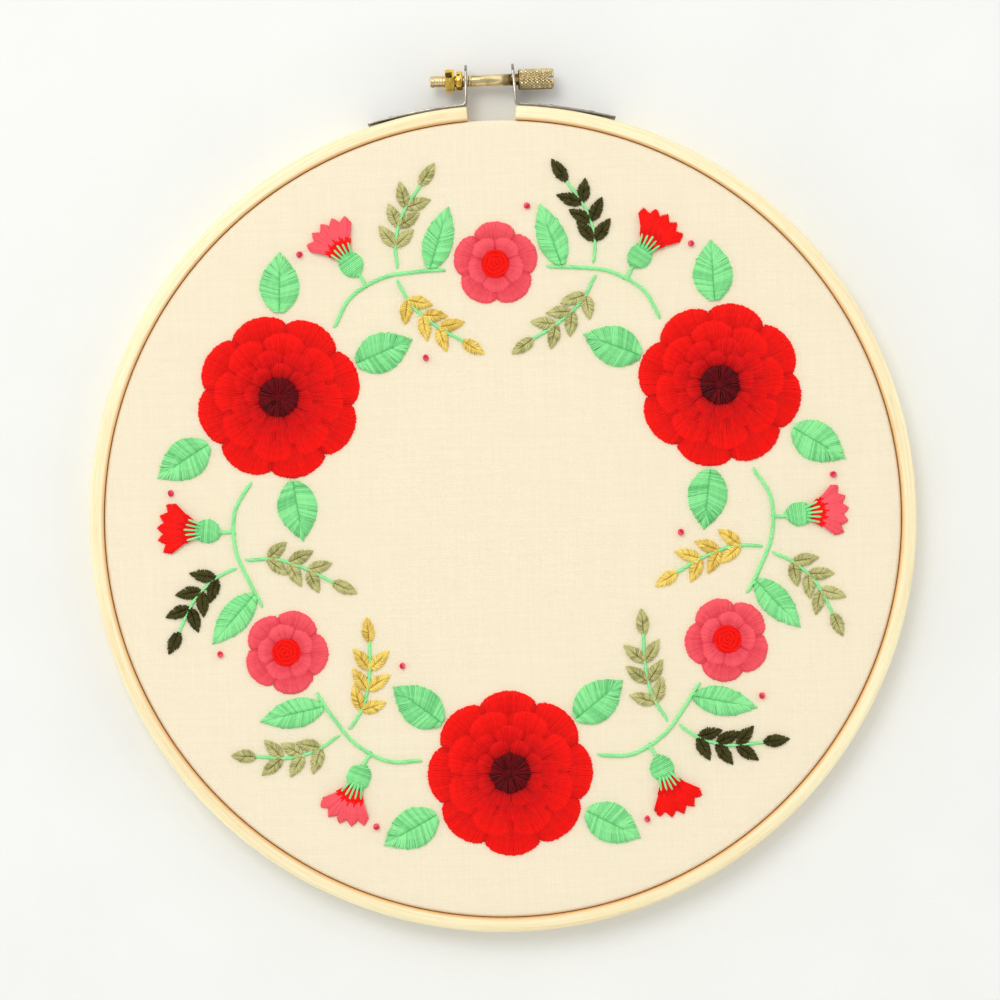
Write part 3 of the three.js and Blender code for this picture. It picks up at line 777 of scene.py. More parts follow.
worn_brass, brass_tree, brass_shader = worn_metal(
    "worn brass", colour_of(242, 222, 170), colour_of(166, 136, 84), 0.18
)
screw_place = coordinates(brass_tree, "Object")
on_axis = {
    "Vector": screw_place,
    "Location": (0, -SCREW_LINE_Y * MM, -MID_HEIGHT * MM),
    "Scale": (0, 1, 1),
}
from_axis = measured(brass_tree, "LENGTH", output(brass_tree, "ShaderNodeMapping", on_axis))
along_screw = output(brass_tree, "ShaderNodeSeparateXYZ", {0: screw_place})
on_barrel = maths(brass_tree, "GREATER_THAN", along_screw, BARREL_START * MM)
# The barrel is darker down in the knurl's grooves.
grooves = spread(brass_tree, from_axis, (BARREL_RADIUS - 0.04) * MM, (BARREL_RADIUS - 0.2) * MM)
groove_darkening = maths(brass_tree, "MULTIPLY", maths(brass_tree, "MULTIPLY", grooves, on_barrel), 0.55)
lay_over(brass_tree, brass_shader, groove_darkening, colour_of(84, 72, 50))
polished_brass = worn_metal("polished brass", colour_of(255, 212, 96), colour_of(150, 116, 50), 0.05)[0]
for part, node, body, finish in (
    (thumbscrew, "thumbscrew", "thumbscrew", worn_brass),
    (nut, "nut", "hoop", polished_brass),
    (collar, "collar", "hoop", polished_brass),
):
    recover(part, finish)
    fit(part, node, body)

# The red blooms
# Worked in stranded cotton, long-and-short satin stitch in four tiers of petals round a dark eye.
# Each stitch comes up through the cloth, is laid over a little padding and goes down again.

WREATH_RADIUS = 65
FIRST_BLOOM = -90
STRAND = 0.255
PITCH = 0.45
PLY_LENGTH = 0.0016
BURIED = 0.28
BLOOM_RADIUS = 21
BLOOM_PETALS = 8
EYE_RADIUS = 5.6
# Each tier: its outer and inner edge, crest, foot, shift in petals, tone, notch and raggedness.
BLOOM_TIERS = {
    "outer": [
        (BLOOM_RADIUS, 13.8, 0.76, 0.0, 0, 0.12, 0.13, 0.9),
        (16.6, 10.2, 0.92, 0.52, 0.5, 0.16, 0.13, 0.9),
    ],
    "inner": [
        (12.4, 7.0, 0.98, 0.64, 0, 0.16, 0.13, 0.7),
        (8.9, 4.8, 1.04, 0.76, 0.5, 0.0, 0.13, 0.5),
    ],
}
BLOOM_PADDING = {"outer": (12.6, 18.0), "inner": (5.4, 11.4), "eye": (0.6, 4.8)}
BLOOM_SLOTS = {"outer": "red_floss", "inner": "crimson_floss", "eye": "maroon_floss"}
chance = random.Random(21)


def build_laid_floss():
    """A flattened round strand along every line, its UV map the way along and the way round."""
    tree, given, made, identifiers = new_tree(
        "laid floss",
        [
            ("Sides", "Int", 6),
            ("Flatness", "Float", 0.88),
            ("Floss", "Material", None),
            ("Second floss", "Material", None),
        ],
    )

    def stored(geometry, name, value, data_type="FLOAT", domain="POINT"):
        inputs = {"Geometry": geometry, "Name": name, "Value": value}
        return output(tree, "GeometryNodeStoreNamedAttribute", inputs, data_type=data_type, domain=domain)

    def named(name, data_type="FLOAT"):
        return output(tree, "GeometryNodeInputNamedAttribute", {"Name": name}, data_type=data_type)

    def way(part):
        return tree.nodes.new("GeometryNodeSplineParameter").outputs[part]

    lines = output(tree, "GeometryNodeMeshToCurve", {"Mesh": given["Geometry"]})
    lines = output(tree, "GeometryNodeSetCurveNormal", {"Curve": lines}, mode="Z_UP")
    lines = stored(lines, "way", way("Length"))
    ring = output(tree, "GeometryNodeCurvePrimitiveCircle", {"Resolution": given["Sides"], "Radius": 1.0})
    ring = output(tree, "GeometryNodeTransform", {"Geometry": ring, "Rotation": (0.0, 0.0, math.pi / 2)})
    flat = output(tree, "ShaderNodeCombineXYZ", {0: 1.0, 1: given["Flatness"], 2: 1.0})
    ring = output(tree, "GeometryNodeTransform", {"Geometry": ring, "Scale": flat})
    ring = stored(ring, "girth", way("Factor"))
    sweep = {"Curve": lines, "Profile Curve": ring, "Scale": named("thick"), "Fill Caps": True}
    strands = output(tree, "GeometryNodeCurveToMesh", sweep)
    strand_uv = output(tree, "ShaderNodeCombineXYZ", {0: named("way"), 1: named("girth"), 2: 0.0})
    strands = stored(strands, "UVMap", strand_uv, "FLOAT2", "CORNER")
    strands = output(tree, "GeometryNodeRealizeInstances", {0: strands})
    strands = output(tree, "GeometryNodeSetMaterial", {"Geometry": strands, "Material": given["Floss"]})
    second = {"Geometry": strands, "Selection": named("second", "BOOLEAN"), "Material": given["Second floss"]}
    tree.links.new(output(tree, "GeometryNodeSetMaterial", second), made[0])
    return tree, identifiers


laid_floss, floss_inputs = build_laid_floss()


def build_floss_ply():
    """Twisted plies and fine hairs along a strand, and each stitch's own tone; the ply grooves are painted
    darker, and the tone carries painted shade too.
    """
    tree, given, made = new_group(
        "floss ply",
        [("Floss", "Color", (1, 0, 0, 1)), ("Shadow", "Color", (0.5, 0, 0, 1)), ("Variation", "Float", 0.5)],
        SURFACE_OUTPUTS,
    )
    place = coordinates(tree, "UV")
    along, around, _ = add_node(tree, "ShaderNodeSeparateXYZ", {0: place}).outputs
    twist = maths(tree, "MULTIPLY_ADD", along, 1 / PLY_LENGTH, maths(tree, "MULTIPLY", around, 2.0))
    plies = maths(tree, "SINE", maths(tree, "MULTIPLY", twist, 2 * math.pi))
    hairs = grain_noise(tree, place, (700, 22, 1), detail=2)
    tone = add_node(tree, "ShaderNodeAttribute", attribute_name="tone").outputs["Fac"]
    uneven = maths(tree, "MULTIPLY_ADD", spread(tree, hairs, 0.3, 0.7, -0.5, 0.5), 0.6, tone)
    # The plies also shift the colour, darker in the grooves of their twist: a painted shade.
    uneven = maths(tree, "MULTIPLY_ADD", plies, 0.08, uneven)
    uneven = maths(tree, "MULTIPLY", uneven, given["Variation"])
    dimmed = maths(tree, "SUBTRACT", 0.25, uneven, clamp=True)
    return put_out(
        tree,
        made,
        Colour=blend_colours(tree, dimmed, given["Floss"], given["Shadow"]),
        Roughness=spread(tree, hairs, 0.3, 0.7, 0.42, 0.56),
        Height=maths(tree, "MULTIPLY_ADD", plies, 0.5, hairs),
    )


floss_ply = build_floss_ply()


def floss(name, colour, shadow, variation=0.8):
    """Stranded cotton floss: softly shining, its plies twisted along the strand."""
    values = {"Floss": colour, "Shadow": shadow, "Variation": variation}
    material, _, shader = surface(name, floss_ply, values, bump_depth=0.00003)
    set_inputs(shader, {"Specular IOR Level": 0.12, "Sheen Weight": 0.02, "Sheen Roughness": 0.4})
    return material


def polar(radius, angle):
    """A point by its distance and direction from the middle."""
    return radius * math.cos(angle), radius * math.sin(angle)


def spot_at(place, bloom_angle, side=1):
    """A spot of the wreath, given as degrees round from a bloom and millimetres from the middle."""
    degrees, radius = place
    return Vector(polar(radius, math.radians(bloom_angle + side * degrees)))


def turned_to(point, at, heading):
    """A point given ahead of and to the left of a place, as one on the hoop."""
    ahead, left, height = point
    across, up = math.cos(heading), math.sin(heading)
    return (at[0] + ahead * across - left * up, at[1] + ahead * up + left * across, height)


def strand(points, thick, tone, second=False):
    """Floss along points, with one tone or one for each point, in the piece's first or second colour."""
    tones = tone if isinstance(tone, list) else [tone] * len(points)
    return {"points": points, "thick": thick, "tones": tones, "second": second}


# How far a stitch rises at each of its points, as shares of its crest, by its number of points.
STITCH_RISES = {7: [0, 0.55, 0.88, 1, 0.88, 0.55, 0], 5: [0, 0.66, 1, 0.66, 0]}


def laid(start, end, crest, tone, thick=STRAND, feet=(0.0, 0.0), steps=7, second=False, end_shade=0.0):
    """One stitch: up through the cloth, over to its crest and down again, heights from the cloth.

    Its tone falls towards its end by the given amount, a painted shade.
    """
    length = math.dist(start, end)
    near, far = min(0.25 / length, 0.1), min(0.9 / length, 0.3)
    shares = [0, near, far, 0.5, 1 - far, 1 - near, 1] if steps == 7 else [0, near, 0.5, 1 - near, 1]
    points = []
    for share, rise in zip(shares, STITCH_RISES[steps]):
        x, y, foot = [
            low + (high - low) * share for low, high in ((start[0], end[0]), (start[1], end[1]), feet)
        ]
        height = foot + (crest - foot) * rise - (BURIED if share in (0, 1) else 0)
        points.append((x, y, height))
    tones = [tone - end_shade * min(1, max(0, share - 0.2) / 0.55) for share in shares]
    return strand(points, thick, tones, second)


def placed(stitches, at, heading):
    """The same stitches, turned and moved to their place on the hoop."""
    return [{**row, "points": [turned_to(point, at, heading) for point in row["points"]]} for row in stitches]


FLOSS = {
    "red_floss": floss("red floss", colour_of(255, 20, 10), colour_of(184, 4, 4)),
    "crimson_floss": floss("crimson floss", colour_of(242, 16, 12), colour_of(160, 2, 6)),
    "maroon_floss": floss("maroon floss", colour_of(108, 0, 10), colour_of(44, 0, 3), variation=1.3),
}


def embroider(name, stitches, slot_name, material=None, second=None, sides=6, base=CLOTH_TOP):
    """Lays floss along every stitch and makes one piece of them, fixed to the cloth."""
    points, edges = [], []
    attributes = {"thick": [], "tone": [], "second": []}
    for row in stitches:
        first = len(points)
        points += [(x * MM, (y + HOOP_CENTRE_Y) * MM, (base + z) * MM) for x, y, z in row["points"]]
        edges += [(i, i + 1) for i in range(first, len(points) - 1)]
        count = len(row["points"])
        attributes["thick"] += [row["thick"] * MM] * count
        attributes["tone"] += row["tones"]
        attributes["second"] += [row["second"]] * count
    lines = bpy.data.meshes.new(name)
    lines.from_pydata(points, edges, [])
    for attribute, values in attributes.items():
        kind = "BOOLEAN" if attribute == "second" else "FLOAT"
        lines.attributes.new(attribute, kind, "POINT").data.foreach_set("value", values)
    piece = new_object(name, lines)
    material = material or FLOSS[slot_name]
    values = {"Sides": sides, "Flatness": 0.88, "Floss": material, "Second floss": second or material}
    grow(piece, laid_floss, floss_inputs, values)
    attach(piece, "hoop")
    return piece


def embroider_over(node, *given, **options):
    """Embroiders a motif that stands for a CAD node."""
    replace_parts(embroider(f"{node}_stitches", *given, **options), node)


backs = {}


def back_stitches(slot_name, stitches, every=2):
    """Under the cloth, the floss runs on from the end of one stitch to the start of the next."""
    rows = backs.setdefault(slot_name, [])
    for here, after in zip(stitches[::every], stitches[every::every]):
        start, end = Vector(here["points"][-1][:2]), Vector(after["points"][0][:2])
        if not 0.3 <= (end - start).length <= 24:
            continue
        bulge = -0.12 - 0.45 * chance.random()
        points = []
        for share, drop in ((0, 0.35), (0.15, bulge * 0.8), (0.85, bulge * 0.8), (1, 0.35)):
            points.append((*start.lerp(end, share), drop))
        rows.append(strand(points, 0.34, chance.uniform(-0.4, 0.2)))


def petal_tier(petals, outer, inner, crest, foot, shift, tone, notch, ragged):
    """A ring of petals in satin stitch from an outer edge in, the inner ends long and short, with painted
    shade towards the inner ends and where petals meet.
    """
    count = round(2 * math.pi * outer / PITCH)
    stitches = []
    for i in range(count):
        angle = 2 * math.pi * (i + 0.22 * chance.random()) / count
        share = petals * angle / (2 * math.pi) + shift
        roundness = abs(math.cos(math.pi * share))
        reach = outer * (1 - notch + notch * math.sqrt(roundness))
        reach += chance.uniform(-0.12, 0.12)
        off_middle = (share + 0.5) % 1 - 0.5
        start = inner + (ragged if i % 2 else -ragged) * chance.uniform(0.3, 1)
        height = crest * (0.7 + 0.3 * roundness**0.6) + chance.uniform(-0.03, 0.03)
        # Stitches where two petals meet are darker: a painted shade in the groove between them.
        petal_groove_shade = 1 - min(1, roundness / 0.3)
        shade = tone + chance.uniform(-0.14, 0.14) - 0.55 * petal_groove_shade
        outside, inside = polar(reach, angle), polar(start, angle - off_middle * 0.008)
        # The inner ends are darker, a painted shade where the next tier lies over them.
        stitches.append(laid(outside, inside, height, shade, feet=(foot, 0.1), end_shade=0.6))
    return stitches


def padding_rounds(inner, outer):
    """Rounds of padding floss that lie under petals and crosswise to their stitches, laid darker as a painted
    shade where they show between stitches.
    """
    rounds = []
    count = round((outer - inner) / 0.8)
    for i in range(count + 1):
        radius = inner + (outer - inner) * i / count
        steps = max(10, round(radius * 2.4))
        points = [(*polar(radius, 2 * math.pi * k / steps + i), 0.12) for k in range(steps + 1)]
        rounds.append(strand(points, 0.46, -0.5))
    return rounds


def satin_eye(radius, crest):
    """A round eye filled in sectors of straight stitches, with a few short ones over its middle."""
    stitches = []
    count = round(2 * math.pi * radius / 0.5)
    for i in range(count):
        angle = 2 * math.pi * (i + 0.35 * chance.random()) / count
        reach = radius * chance.uniform(0.94, 1.02)
        inner = radius * (0.12, 0.42, 0.28)[i % 3]
        inside = polar(inner, angle + chance.uniform(-0.12, 0.12))
        shade = chance.uniform(-0.4, 0.35)
        stitches.append(laid(polar(reach, angle), inside, crest, shade, feet=(0.35, 0.5)))
    for i in range(5):
        aside = 0.42 * (i - 2)
        half = math.sqrt(1.5 - aside**2 / 1.2)
        shade = chance.uniform(-0.3, 0.3)
        stitches.append(
            laid((-half, aside), (half, aside + 0.1), crest + 0.08, shade, feet=(0.5, 0.5), steps=5)
        )
    return stitches


for index in range(3):
    angle = FIRST_BLOOM + 120 * index
    at, heading = spot_at((0, WREATH_RADIUS), angle), math.radians(angle)
    parts = {
        part: [stitch for tier in tiers for stitch in petal_tier(BLOOM_PETALS, *tier)]
        for part, tiers in BLOOM_TIERS.items()
    }
    parts["eye"] = satin_eye(EYE_RADIUS, 1.02)
    for part, stitches in parts.items():
        stitches = placed(stitches, at, heading)
        under = placed(padding_rounds(*BLOOM_PADDING[part]), at, heading)
        embroider_over(f"bloom_{index + 1}_{part}", stitches + under, BLOOM_SLOTS[part])
        back_stitches(BLOOM_SLOTS[part], stitches)

# The coral blossoms
# Five round petals in two tiers of satin stitch, worked round a wound eye of red floss.
# The eye is one thread, wound round and round from the middle out over a little padding.

BLOSSOM_TIERS = [
    (10.8, 5.8, 0.75, 0.0, 0, 0.12, 0.2, 0.6),
    (7.3, 3.1, 0.9, 0.5, 0.5, 0.2, 0.16, 0.4),
]
BLOSSOM_PETALS = 5
WOUND_TURNS = 6.6
FLOSS["coral_floss"] = floss("coral floss", colour_of(252, 98, 108), colour_of(206, 40, 60))


def wound_eye():
    """One thread wound outwards, a little higher at each spoke and lighter there, a painted light, its end
    taken down.
    """
    points, tones, around = [], [], 0.0
    while around < 2 * math.pi * WOUND_TURNS:
        reach = 0.12 + 0.53 * around / (2 * math.pi)
        bump = math.cos(around * 2.5)
        points.append((*polar(reach, around), 1.02 - 0.07 * reach + 0.09 * bump))
        # Lighter on the high places over the spokes and darker between them: painted light and shade.
        tones.append(0.05 + 0.25 * bump)
        around += min(0.5, 0.3 / reach)
    points[-1] = (*points[-1][:2], -0.2)
    return strand(points, 0.34, tones)


for index in range(3):
    angle = FIRST_BLOOM + 60 + 120 * index
    at, heading = spot_at((0, WREATH_RADIUS), angle), math.radians(angle)
    petals = [stitch for tier in BLOSSOM_TIERS for stitch in petal_tier(BLOSSOM_PETALS, *tier)]
    petals = placed(petals, at, heading)
    under = placed(padding_rounds(3.6, 8.4), at, heading)
    embroider_over(f"blossom_{index + 1}_petals", petals + under, "coral_floss")
    back_stitches("coral_floss", petals)
    eye = placed([wound_eye()] + padding_rounds(0.5, 2.9), at, heading)
    embroider_over(f"blossom_{index + 1}_eye", eye, "red_floss")

# The large leaves
# Fishbone stitch in mint floss: slanting stitches from each edge down to a sunken middle rib.
# Two show from under each side of a bloom.

LEAF_LENGTH, LEAF_WIDTH, LEAF_HEIGHT = 15.5, 10, 0.9
LEAF_GAP = 0.3
LEAF_TURNS = {"outer": (62, 0.12), "inner": (128, -0.04)}
FLOSS["mint_floss"] = floss("mint floss", colour_of(150, 238, 158), colour_of(84, 180, 104), variation=1.15)


def halves():
    """Each half of the wreath's three sections: its bloom's angle, its side and its number."""
    for section in range(3):
        for side in (1, -1):
            yield FIRST_BLOOM + 120 * section, side, 2 * section + (1 if side > 0 else 2)


def fishbone(length, width, height, tone, pitch=0.5, steps=7, thick=0.29, slant=0.8):
    """A leaf lying ahead of its foot, stitched from each edge to its rib, from the foot to the tip."""
    count = round(length / pitch)
    stitches = []
    for side in (1, -1):
        for i in range(count):
            share = 0.04 + 0.96 * (i + 0.3 * chance.random()) / count
            half_width = width / 2 * math.sin(math.pi * min(share, 0.999) ** 0.85) ** 0.8
            edge = (length * share, side * max(half_width + chance.uniform(-0.12, 0.12), 0.08))
            rib = (length * slant * share, side * 0.12)
            crest = height * (0.55 + 0.4 * math.sin(math.pi * share) ** 0.4)
            mottle = 0.3 * noise.noise(Vector((share * 4, side * 3, tone * 40 + length)))
            shade = tone + mottle + chance.uniform(-0.28, 0.28)
            stitches.append(laid(edge, rib, crest, shade, thick=thick, feet=(0.0, 0.2), steps=steps))
    for i in (-1, 1, 0):
        aside = 0.9 * thick * i
        tip, foot = (length * (1.02 - 0.05 * abs(i)), aside), (length * 0.7, aside)
        shade = tone + chance.uniform(-0.2, 0.2)
        stitches.append(laid(tip, foot, height * (0.72 - 0.1 * abs(i)), shade, thick=thick, steps=5))
    return stitches


def padding_rows(length, width):
    """Rows of padding floss along a leaf, under its stitches, laid darker as a painted shade where they show
    between them.
    """
    rows = []
    count = max(1, round(width / 2 / 0.95))
    for i in range(-count, count + 1):
        aside = 0.8 * width / 2 * i / (count + 0.5)
        reach = math.sqrt(max(0.1, 1 - (aside / (width / 2)) ** 2))
        start, end = length * (0.5 - 0.4 * reach), length * (0.47 + 0.36 * reach)
        rows.append(laid((start, aside), (end, aside), 0.14, -0.4, thick=0.5, steps=5))
    return rows


for angle, side, half in halves():
    bloom_at = spot_at((0, WREATH_RADIUS), angle)
    for where, (turn, tone) in LEAF_TURNS.items():
        heading = math.radians(angle + side * turn)
        at = turned_to((BLOOM_RADIUS + LEAF_GAP, 0, 0), bloom_at, heading)
        leaf = placed(fishbone(LEAF_LENGTH, LEAF_WIDTH, LEAF_HEIGHT, tone), at, heading)
        under = placed(padding_rows(LEAF_LENGTH, LEAF_WIDTH), at, heading)
        embroider_over(f"leaf_{half}_{where}", leaf + under, "mint_floss")
        back_stitches("mint_floss", leaf)

# The vines, with their buds' cups, and the buds
# Stems in stem stitch, a slim leaf in fishbone, and a satin cup from which the bud's fan opens.
# The fan is long and short straight stitches, darker where it leaves the cup.

VINE = [(20.2, 65), (27, 68.5), (35, 68.7), (42, 66.8), (48.6, 65.2)]
VINE_LEAF_AT = (45.2, 66.1)
VINE_LEAF_TURN = 33
VINE_LEAF_LENGTH, VINE_LEAF_WIDTH, VINE_LEAF_HEIGHT = 16.5, 7.4, 0.8
BUD_STEM = [(31, 68.6), (31.2, 71), (31, 73.2)]
STEM_SPACING = 0.8
STEM_HEIGHTS = (-0.1, 0.36, 0.44, 0.36, -0.1)
CUP_STITCHES = 15
FAN_SPREAD = 42
FAN_TEETH = 5
# Each layer of the fan: its number of stitches, their crest and the heights of their feet.
FAN_LAYERS = [(40, 0.85, (0.2, 0.0)), (32, 0.98, (0.5, 0.6))]


def smooth_route(spots, spacing):
    """A smooth line through spots, as evenly spaced points and the direction at each."""
    fine = []
    guides = [spots[0] * 2 - spots[1]] + spots + [spots[-1] * 2 - spots[-2]]
    for before, here, after, beyond in zip(guides, guides[1:], guides[2:], guides[3:]):
        for i in range(24):
            t = i / 24
            pull = (after - before) * 0.5, (beyond - here) * 0.5
            fine.append(
                here * (2 * t**3 - 3 * t**2 + 1)
                + pull[0] * (t**3 - 2 * t**2 + t)
                + after * (3 * t**2 - 2 * t**3)
                + pull[1] * (t**3 - t**2)
            )
    fine.append(spots[-1])
    ways = [0.0]
    for here, after in zip(fine, fine[1:]):
        ways.append(ways[-1] + (after - here).length)
    count = max(2, round(ways[-1] / spacing))
    route = []
    for i in range(count + 1):
        way = ways[-1] * i / count
        k = min(max(j for j in range(len(ways)) if ways[j] <= way + 1e-9), len(fine) - 2)
        share = (way - ways[k]) / (ways[k + 1] - ways[k])
        route.append((fine[k].lerp(fine[k + 1], share), (fine[k + 1] - fine[k]).normalized()))
    return route


def stem_stitch(spots, second=False, thick=0.34):
    """Overlapping slanted stitches along a route, which lie together like a fine rope."""
    route = smooth_route(spots, STEM_SPACING)
    stitches = []
    for start in range(-2, len(route) - 1, 2):
        rows = route[max(start, 0) : start + 5]
        if len(rows) < 3:
            continue
        points = []
        for i, (spot, along) in enumerate(rows):
            share = i / (len(rows) - 1)
            aside = Vector((-along.y, along.x)) * (0.26 - 0.52 * share)
            points.append((spot.x + aside.x, spot.y + aside.y, STEM_HEIGHTS[round(share * 4)]))
        stitches.append(strand(points, thick, 0.3 + chance.uniform(-0.3, 0.25), second))
    return stitches


def bud_cup():
    """The green cup: satin stitch across it, and five longer stitches up over the fan."""
    stitches = []
    for i in range(CUP_STITCHES):
        share = (i + 0.5) / CUP_STITCHES
        ahead = 2.4 + 3.45 * (2 * share - 1)
        half = 3 * math.sqrt(max(0.02, 1 - (2 * share - 1) ** 2)) + chance.uniform(-0.1, 0.1)
        height = 0.6 + 0.4 * math.sin(math.pi * share)
        bend = 0.5 * (share - 0.5)
        stitches.append(laid((ahead - bend, -half), (ahead + bend, half), height, chance.uniform(-0.3, 0.25)))
    for i in range(-2, 3):
        near, far = (4.6 - 0.3 * abs(i), 0.75 * i), (8.4 - 0.5 * abs(i), 1.35 * i)
        stitches.append(laid(near, far, 1.12, chance.uniform(-0.2, 0.3), thick=0.3, feet=(0.8, 0.8), steps=5))
    return stitches


def bud_fan():
    """Long and short stitches out of the cup to a toothed edge, the shorter ones in a second colour."""
    stitches = []
    for layer, (count, crest, feet) in enumerate(FAN_LAYERS):
        for i in range(count):
            share = 2 * (i + 0.4 * chance.random()) / count - 1
            tooth = abs(((share + 1) * FAN_TEETH) % 2 - 1)
            reach = 10.6 + 1.6 * (1 - tooth) - 4.4 * layer - (0.9 * layer if i % 2 else 0)
            angle = math.radians(FAN_SPREAD * share)
            tip = (3 + reach * math.cos(angle), 0.9 * reach * math.sin(angle))
            foot = (6.2 - 0.7 * layer + chance.uniform(-0.4, 0.4), 1.85 * share)
            shade = chance.uniform(-0.18, 0.22) + 0.1 * (1 - layer)
            stitches.append(laid(foot, tip, crest, shade, feet=feet, second=layer == 1))
    return stitches


for angle, side, half in halves():
    below, foot = [spot_at(place, angle, side) for place in BUD_STEM[-2:]]
    heading = math.atan2(foot.y - below.y, foot.x - below.x)
    leaf_heading = math.radians(angle + side * (VINE_LEAF_AT[0] + VINE_LEAF_TURN))
    slim = fishbone(VINE_LEAF_LENGTH, VINE_LEAF_WIDTH, VINE_LEAF_HEIGHT, tone=0.06, pitch=0.54)
    slim += padding_rows(VINE_LEAF_LENGTH, VINE_LEAF_WIDTH)
    vine = stem_stitch([spot_at(place, angle, side) for place in VINE])
    vine += stem_stitch([spot_at(place, angle, side) for place in BUD_STEM])
    vine += placed(bud_cup(), foot, heading)
    vine += placed(slim, spot_at(VINE_LEAF_AT, angle, side), leaf_heading)
    embroider_over(f"vine_{half}", vine, "mint_floss")
    back_stitches("mint_floss", vine, every=1)
    fan = placed(bud_fan(), foot, heading)
    main, heart = ("red_floss", "crimson_floss") if side > 0 else ("coral_floss", "red_floss")
    embroider_over(f"bud_{half}", fan, main, second=FLOSS[heart])
    back_stitches(main, fan)

# The sprigs
# A mint stem in stem stitch with three pairs of small leaves and one at its tip.
# The leaves are sage, mustard or dark olive floss, in small fishbone stitches.

SMALL_LEAF = {"width": 3.2, "height": 0.72, "pitch": 0.56, "steps": 5, "thick": 0.24, "slant": 0.72}
SMALL_LEAF_LENGTH = 6.6
LEAF_PLACES = [(0.24 + 0.22 * i, turn) for i in range(3) for turn in (42, -42)] + [(0.97, 0)]
SPRIGS = {
    "inner_sprig": [(37.6, 66.6), (38.5, 59), (43, 51.5), (49.5, 46)],
    "outer_sprig": [(38.8, 69.2), (40.2, 75), (43.2, 81.5), (48, 88)],
}
SPRIG_SLOTS = {
    "inner_sprig": {1: "sage_floss", -1: "mustard_floss"},
    "outer_sprig": {1: "olive_floss", -1: "sage_floss"},
}
FLOSS["sage_floss"] = floss("sage floss", colour_of(204, 202, 138), colour_of(138, 134, 72), variation=1.2)
FLOSS["mustard_floss"] = floss(
    "mustard floss", colour_of(250, 222, 116), colour_of(200, 160, 58), variation=1.2
)
FLOSS["olive_floss"] = floss("olive floss", colour_of(76, 72, 30), colour_of(32, 30, 8), variation=1.1)
for angle, side, half in halves():
    for name, places in SPRIGS.items():
        spots = [spot_at(place, angle, side) for place in places]
        route = smooth_route(spots, 0.25)
        sprig = stem_stitch(spots, second=True, thick=0.3)
        for share, turn in LEAF_PLACES:
            foot, along = route[round(share * (len(route) - 1))]
            heading = math.atan2(along.y, along.x) + math.radians(turn + chance.uniform(-5, 5))
            length = SMALL_LEAF_LENGTH * chance.uniform(0.94, 1.04)
            shade = chance.uniform(-0.15, 0.15)
            sprig += placed(fishbone(length, tone=shade, **SMALL_LEAF), foot, heading)
        slot_name = SPRIG_SLOTS[name][side]
        embroider_over(f"{name}_{half}", sprig, slot_name, second=FLOSS["mint_floss"], sides=5)
        back_stitches(slot_name, [row for row in sprig if not row["second"]], every=3)
        back_stitches("mint_floss", [row for row in sprig if row["second"]], every=1)

# The loose knots
# French knots in pink floss, each wound twice round the needle and pulled down tight.
# They fill the bare cloth between the sprigs and the buds.

KNOT_PLACES = {1: [(24, 85), (54, 80)], -1: [(24, 85), (36, 45.5)]}
KNOT_TURNS = 2.3
KNOT_STEPS = 26
knots = []
for angle, side, half in halves():
    for place in KNOT_PLACES[side]:
        middle = spot_at(place, angle, side)
        start = chance.uniform(0, 6.28)
        squash = chance.uniform(0.78, 1.0)
        points = []
        for i in range(KNOT_STEPS + 1):
            share = i / KNOT_STEPS
            around = start + 2 * math.pi * KNOT_TURNS * share
            reach = (0.62 - 0.3 * share) * (1 - (1 - squash) * math.cos(around) ** 2)
            height = -0.1 + 1.15 * min(1, share * 1.6) - (0.5 if i == KNOT_STEPS else 0)
            points.append((middle.x + reach * math.cos(around), middle.y + reach * math.sin(around), height))
        # The last turns, in the knot's middle where the thread goes down, are much darker: a painted shade.
        knots.append(strand(points, 0.36, [chance.uniform(-0.25, 0.35)] * 20 + [-0.9] * 7))
pink = floss("pink floss", colour_of(246, 96, 112), colour_of(200, 44, 70))
embroider("loose_knots", knots, "coral_floss", material=pink)

# The backs of the stitches
# Under the cloth the floss crosses from the end of each stitch to the start of the next.

for slot_name, stitches in backs.items():
    embroider(f"backs_{slot_name}", stitches, slot_name, sides=5, base=CLOTH_TOP - CLOTH_THICK)

# Table, light and camera
# The finished piece lies flat on a white table in soft daylight from above its upper edge.
# The camera looks straight down, and the hoop is turned a little in its frame.

TABLE_HALF = 3
SKY_STRENGTH = 1.29
TURN = math.radians(-1.65)
SENSOR_WIDTH = 36
CAMERA_HEIGHT = 1008
CAMERA_DISTANCE = 1000
PICTURE_WIDTH = 255.4
PICTURE_ACROSS, PICTURE_UP = -0.77, 4.73

corners = [(x * TABLE_HALF, y * TABLE_HALF, 0) for x, y in ((-1, -1), (1, -1), (1, 1), (-1, 1))]
table_mesh = bpy.data.meshes.new("table")
table_mesh.from_pydata(corners, [], [(0, 1, 2, 3)])
table = new_object("table", table_mesh)
table_white, table_tree, table_shader = new_material("white table")
mottle = grain_noise(table_tree, coordinates(table_tree, "Object"), (30, 30, 30), detail=4)
mottle = spread(table_tree, mottle, 0.3, 0.7)
table_tone = blend_colours(table_tree, mottle, colour_of(236, 237, 234), colour_of(239, 240, 237))
table_tree.links.new(table_tone, table_shader.inputs["Base Color"])
set_inputs(table_shader, {"Roughness": 0.7})
table_mesh.materials.append(table_white)

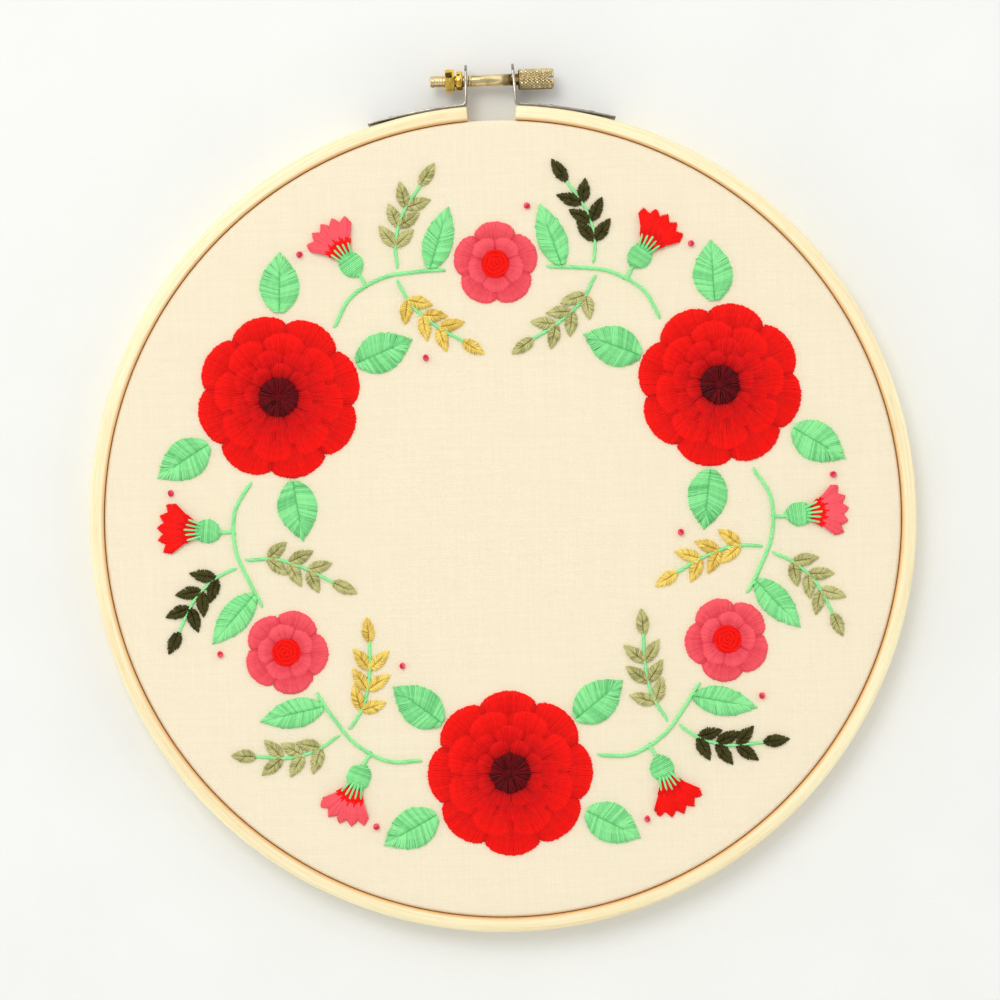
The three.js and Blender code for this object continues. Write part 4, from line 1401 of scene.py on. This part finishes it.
# The sky is a white room, dimmer straight above and with one dark doorway.
sky = bpy.data.worlds.new("soft white room")
bpy.context.scene.world = sky
sky.use_nodes = True
sky_tree = sky.node_tree
sky_way = coordinates(sky_tree, "Generated")
to_dim = spread(sky_tree, measured(sky_tree, "DOT_PRODUCT", sky_way, (0, -0.26, 0.966)), 0.5, 0.78)
to_door = spread(sky_tree, measured(sky_tree, "DOT_PRODUCT", sky_way, (-0.17, 0.97, 0.17)), 0.945, 0.965)
sky_tone = blend_colours(sky_tree, to_dim, (1.0, 1.0, 1.0, 1), (0.38, 0.375, 0.37, 1))
sky_tone = blend_colours(sky_tree, to_door, sky_tone, (0.03, 0.03, 0.035, 1))
sky_tree.links.new(sky_tone, sky_tree.nodes["Background"].inputs["Color"])
set_inputs(sky_tree.nodes["Background"], {"Strength": SKY_STRENGTH})


def soft_light(name, place, size, power, colour):
    """A square lamp that faces the middle of the scene."""
    lamp = bpy.data.lights.new(name, "AREA")
    lamp.shape = "SQUARE"
    lamp.size = size
    lamp.energy = power
    lamp.color = colour
    holder = new_object(name, lamp)
    holder.location = place
    holder.rotation_euler = (-Vector(place)).to_track_quat("-Z", "Y").to_euler()


soft_light("window", (-0.45, 0.75, 1.5), 0.8, 9.5, (1.0, 0.985, 0.96))
soft_light("fill", (-0.6, -0.5, 1.4), 1.2, 1.0, (0.97, 0.985, 1.0))

lens = bpy.data.cameras.new("camera")
lens.sensor_width = SENSOR_WIDTH
lens.lens = SENSOR_WIDTH * CAMERA_DISTANCE / PICTURE_WIDTH
lens.clip_start = 0.05
camera = new_object("camera", lens)
right = Vector((math.cos(TURN), math.sin(TURN), 0))
upward = Vector((-math.sin(TURN), math.cos(TURN), 0))
middle = Vector((0, HOOP_CENTRE_Y, 0)) + PICTURE_ACROSS * right + PICTURE_UP * upward
camera.location = Vector((middle.x, middle.y, CAMERA_HEIGHT)) * MM
camera.rotation_euler = (0, 0, TURN)
bpy.context.scene.camera = camera
bpy.context.scene.view_settings.view_transform = "Standard"
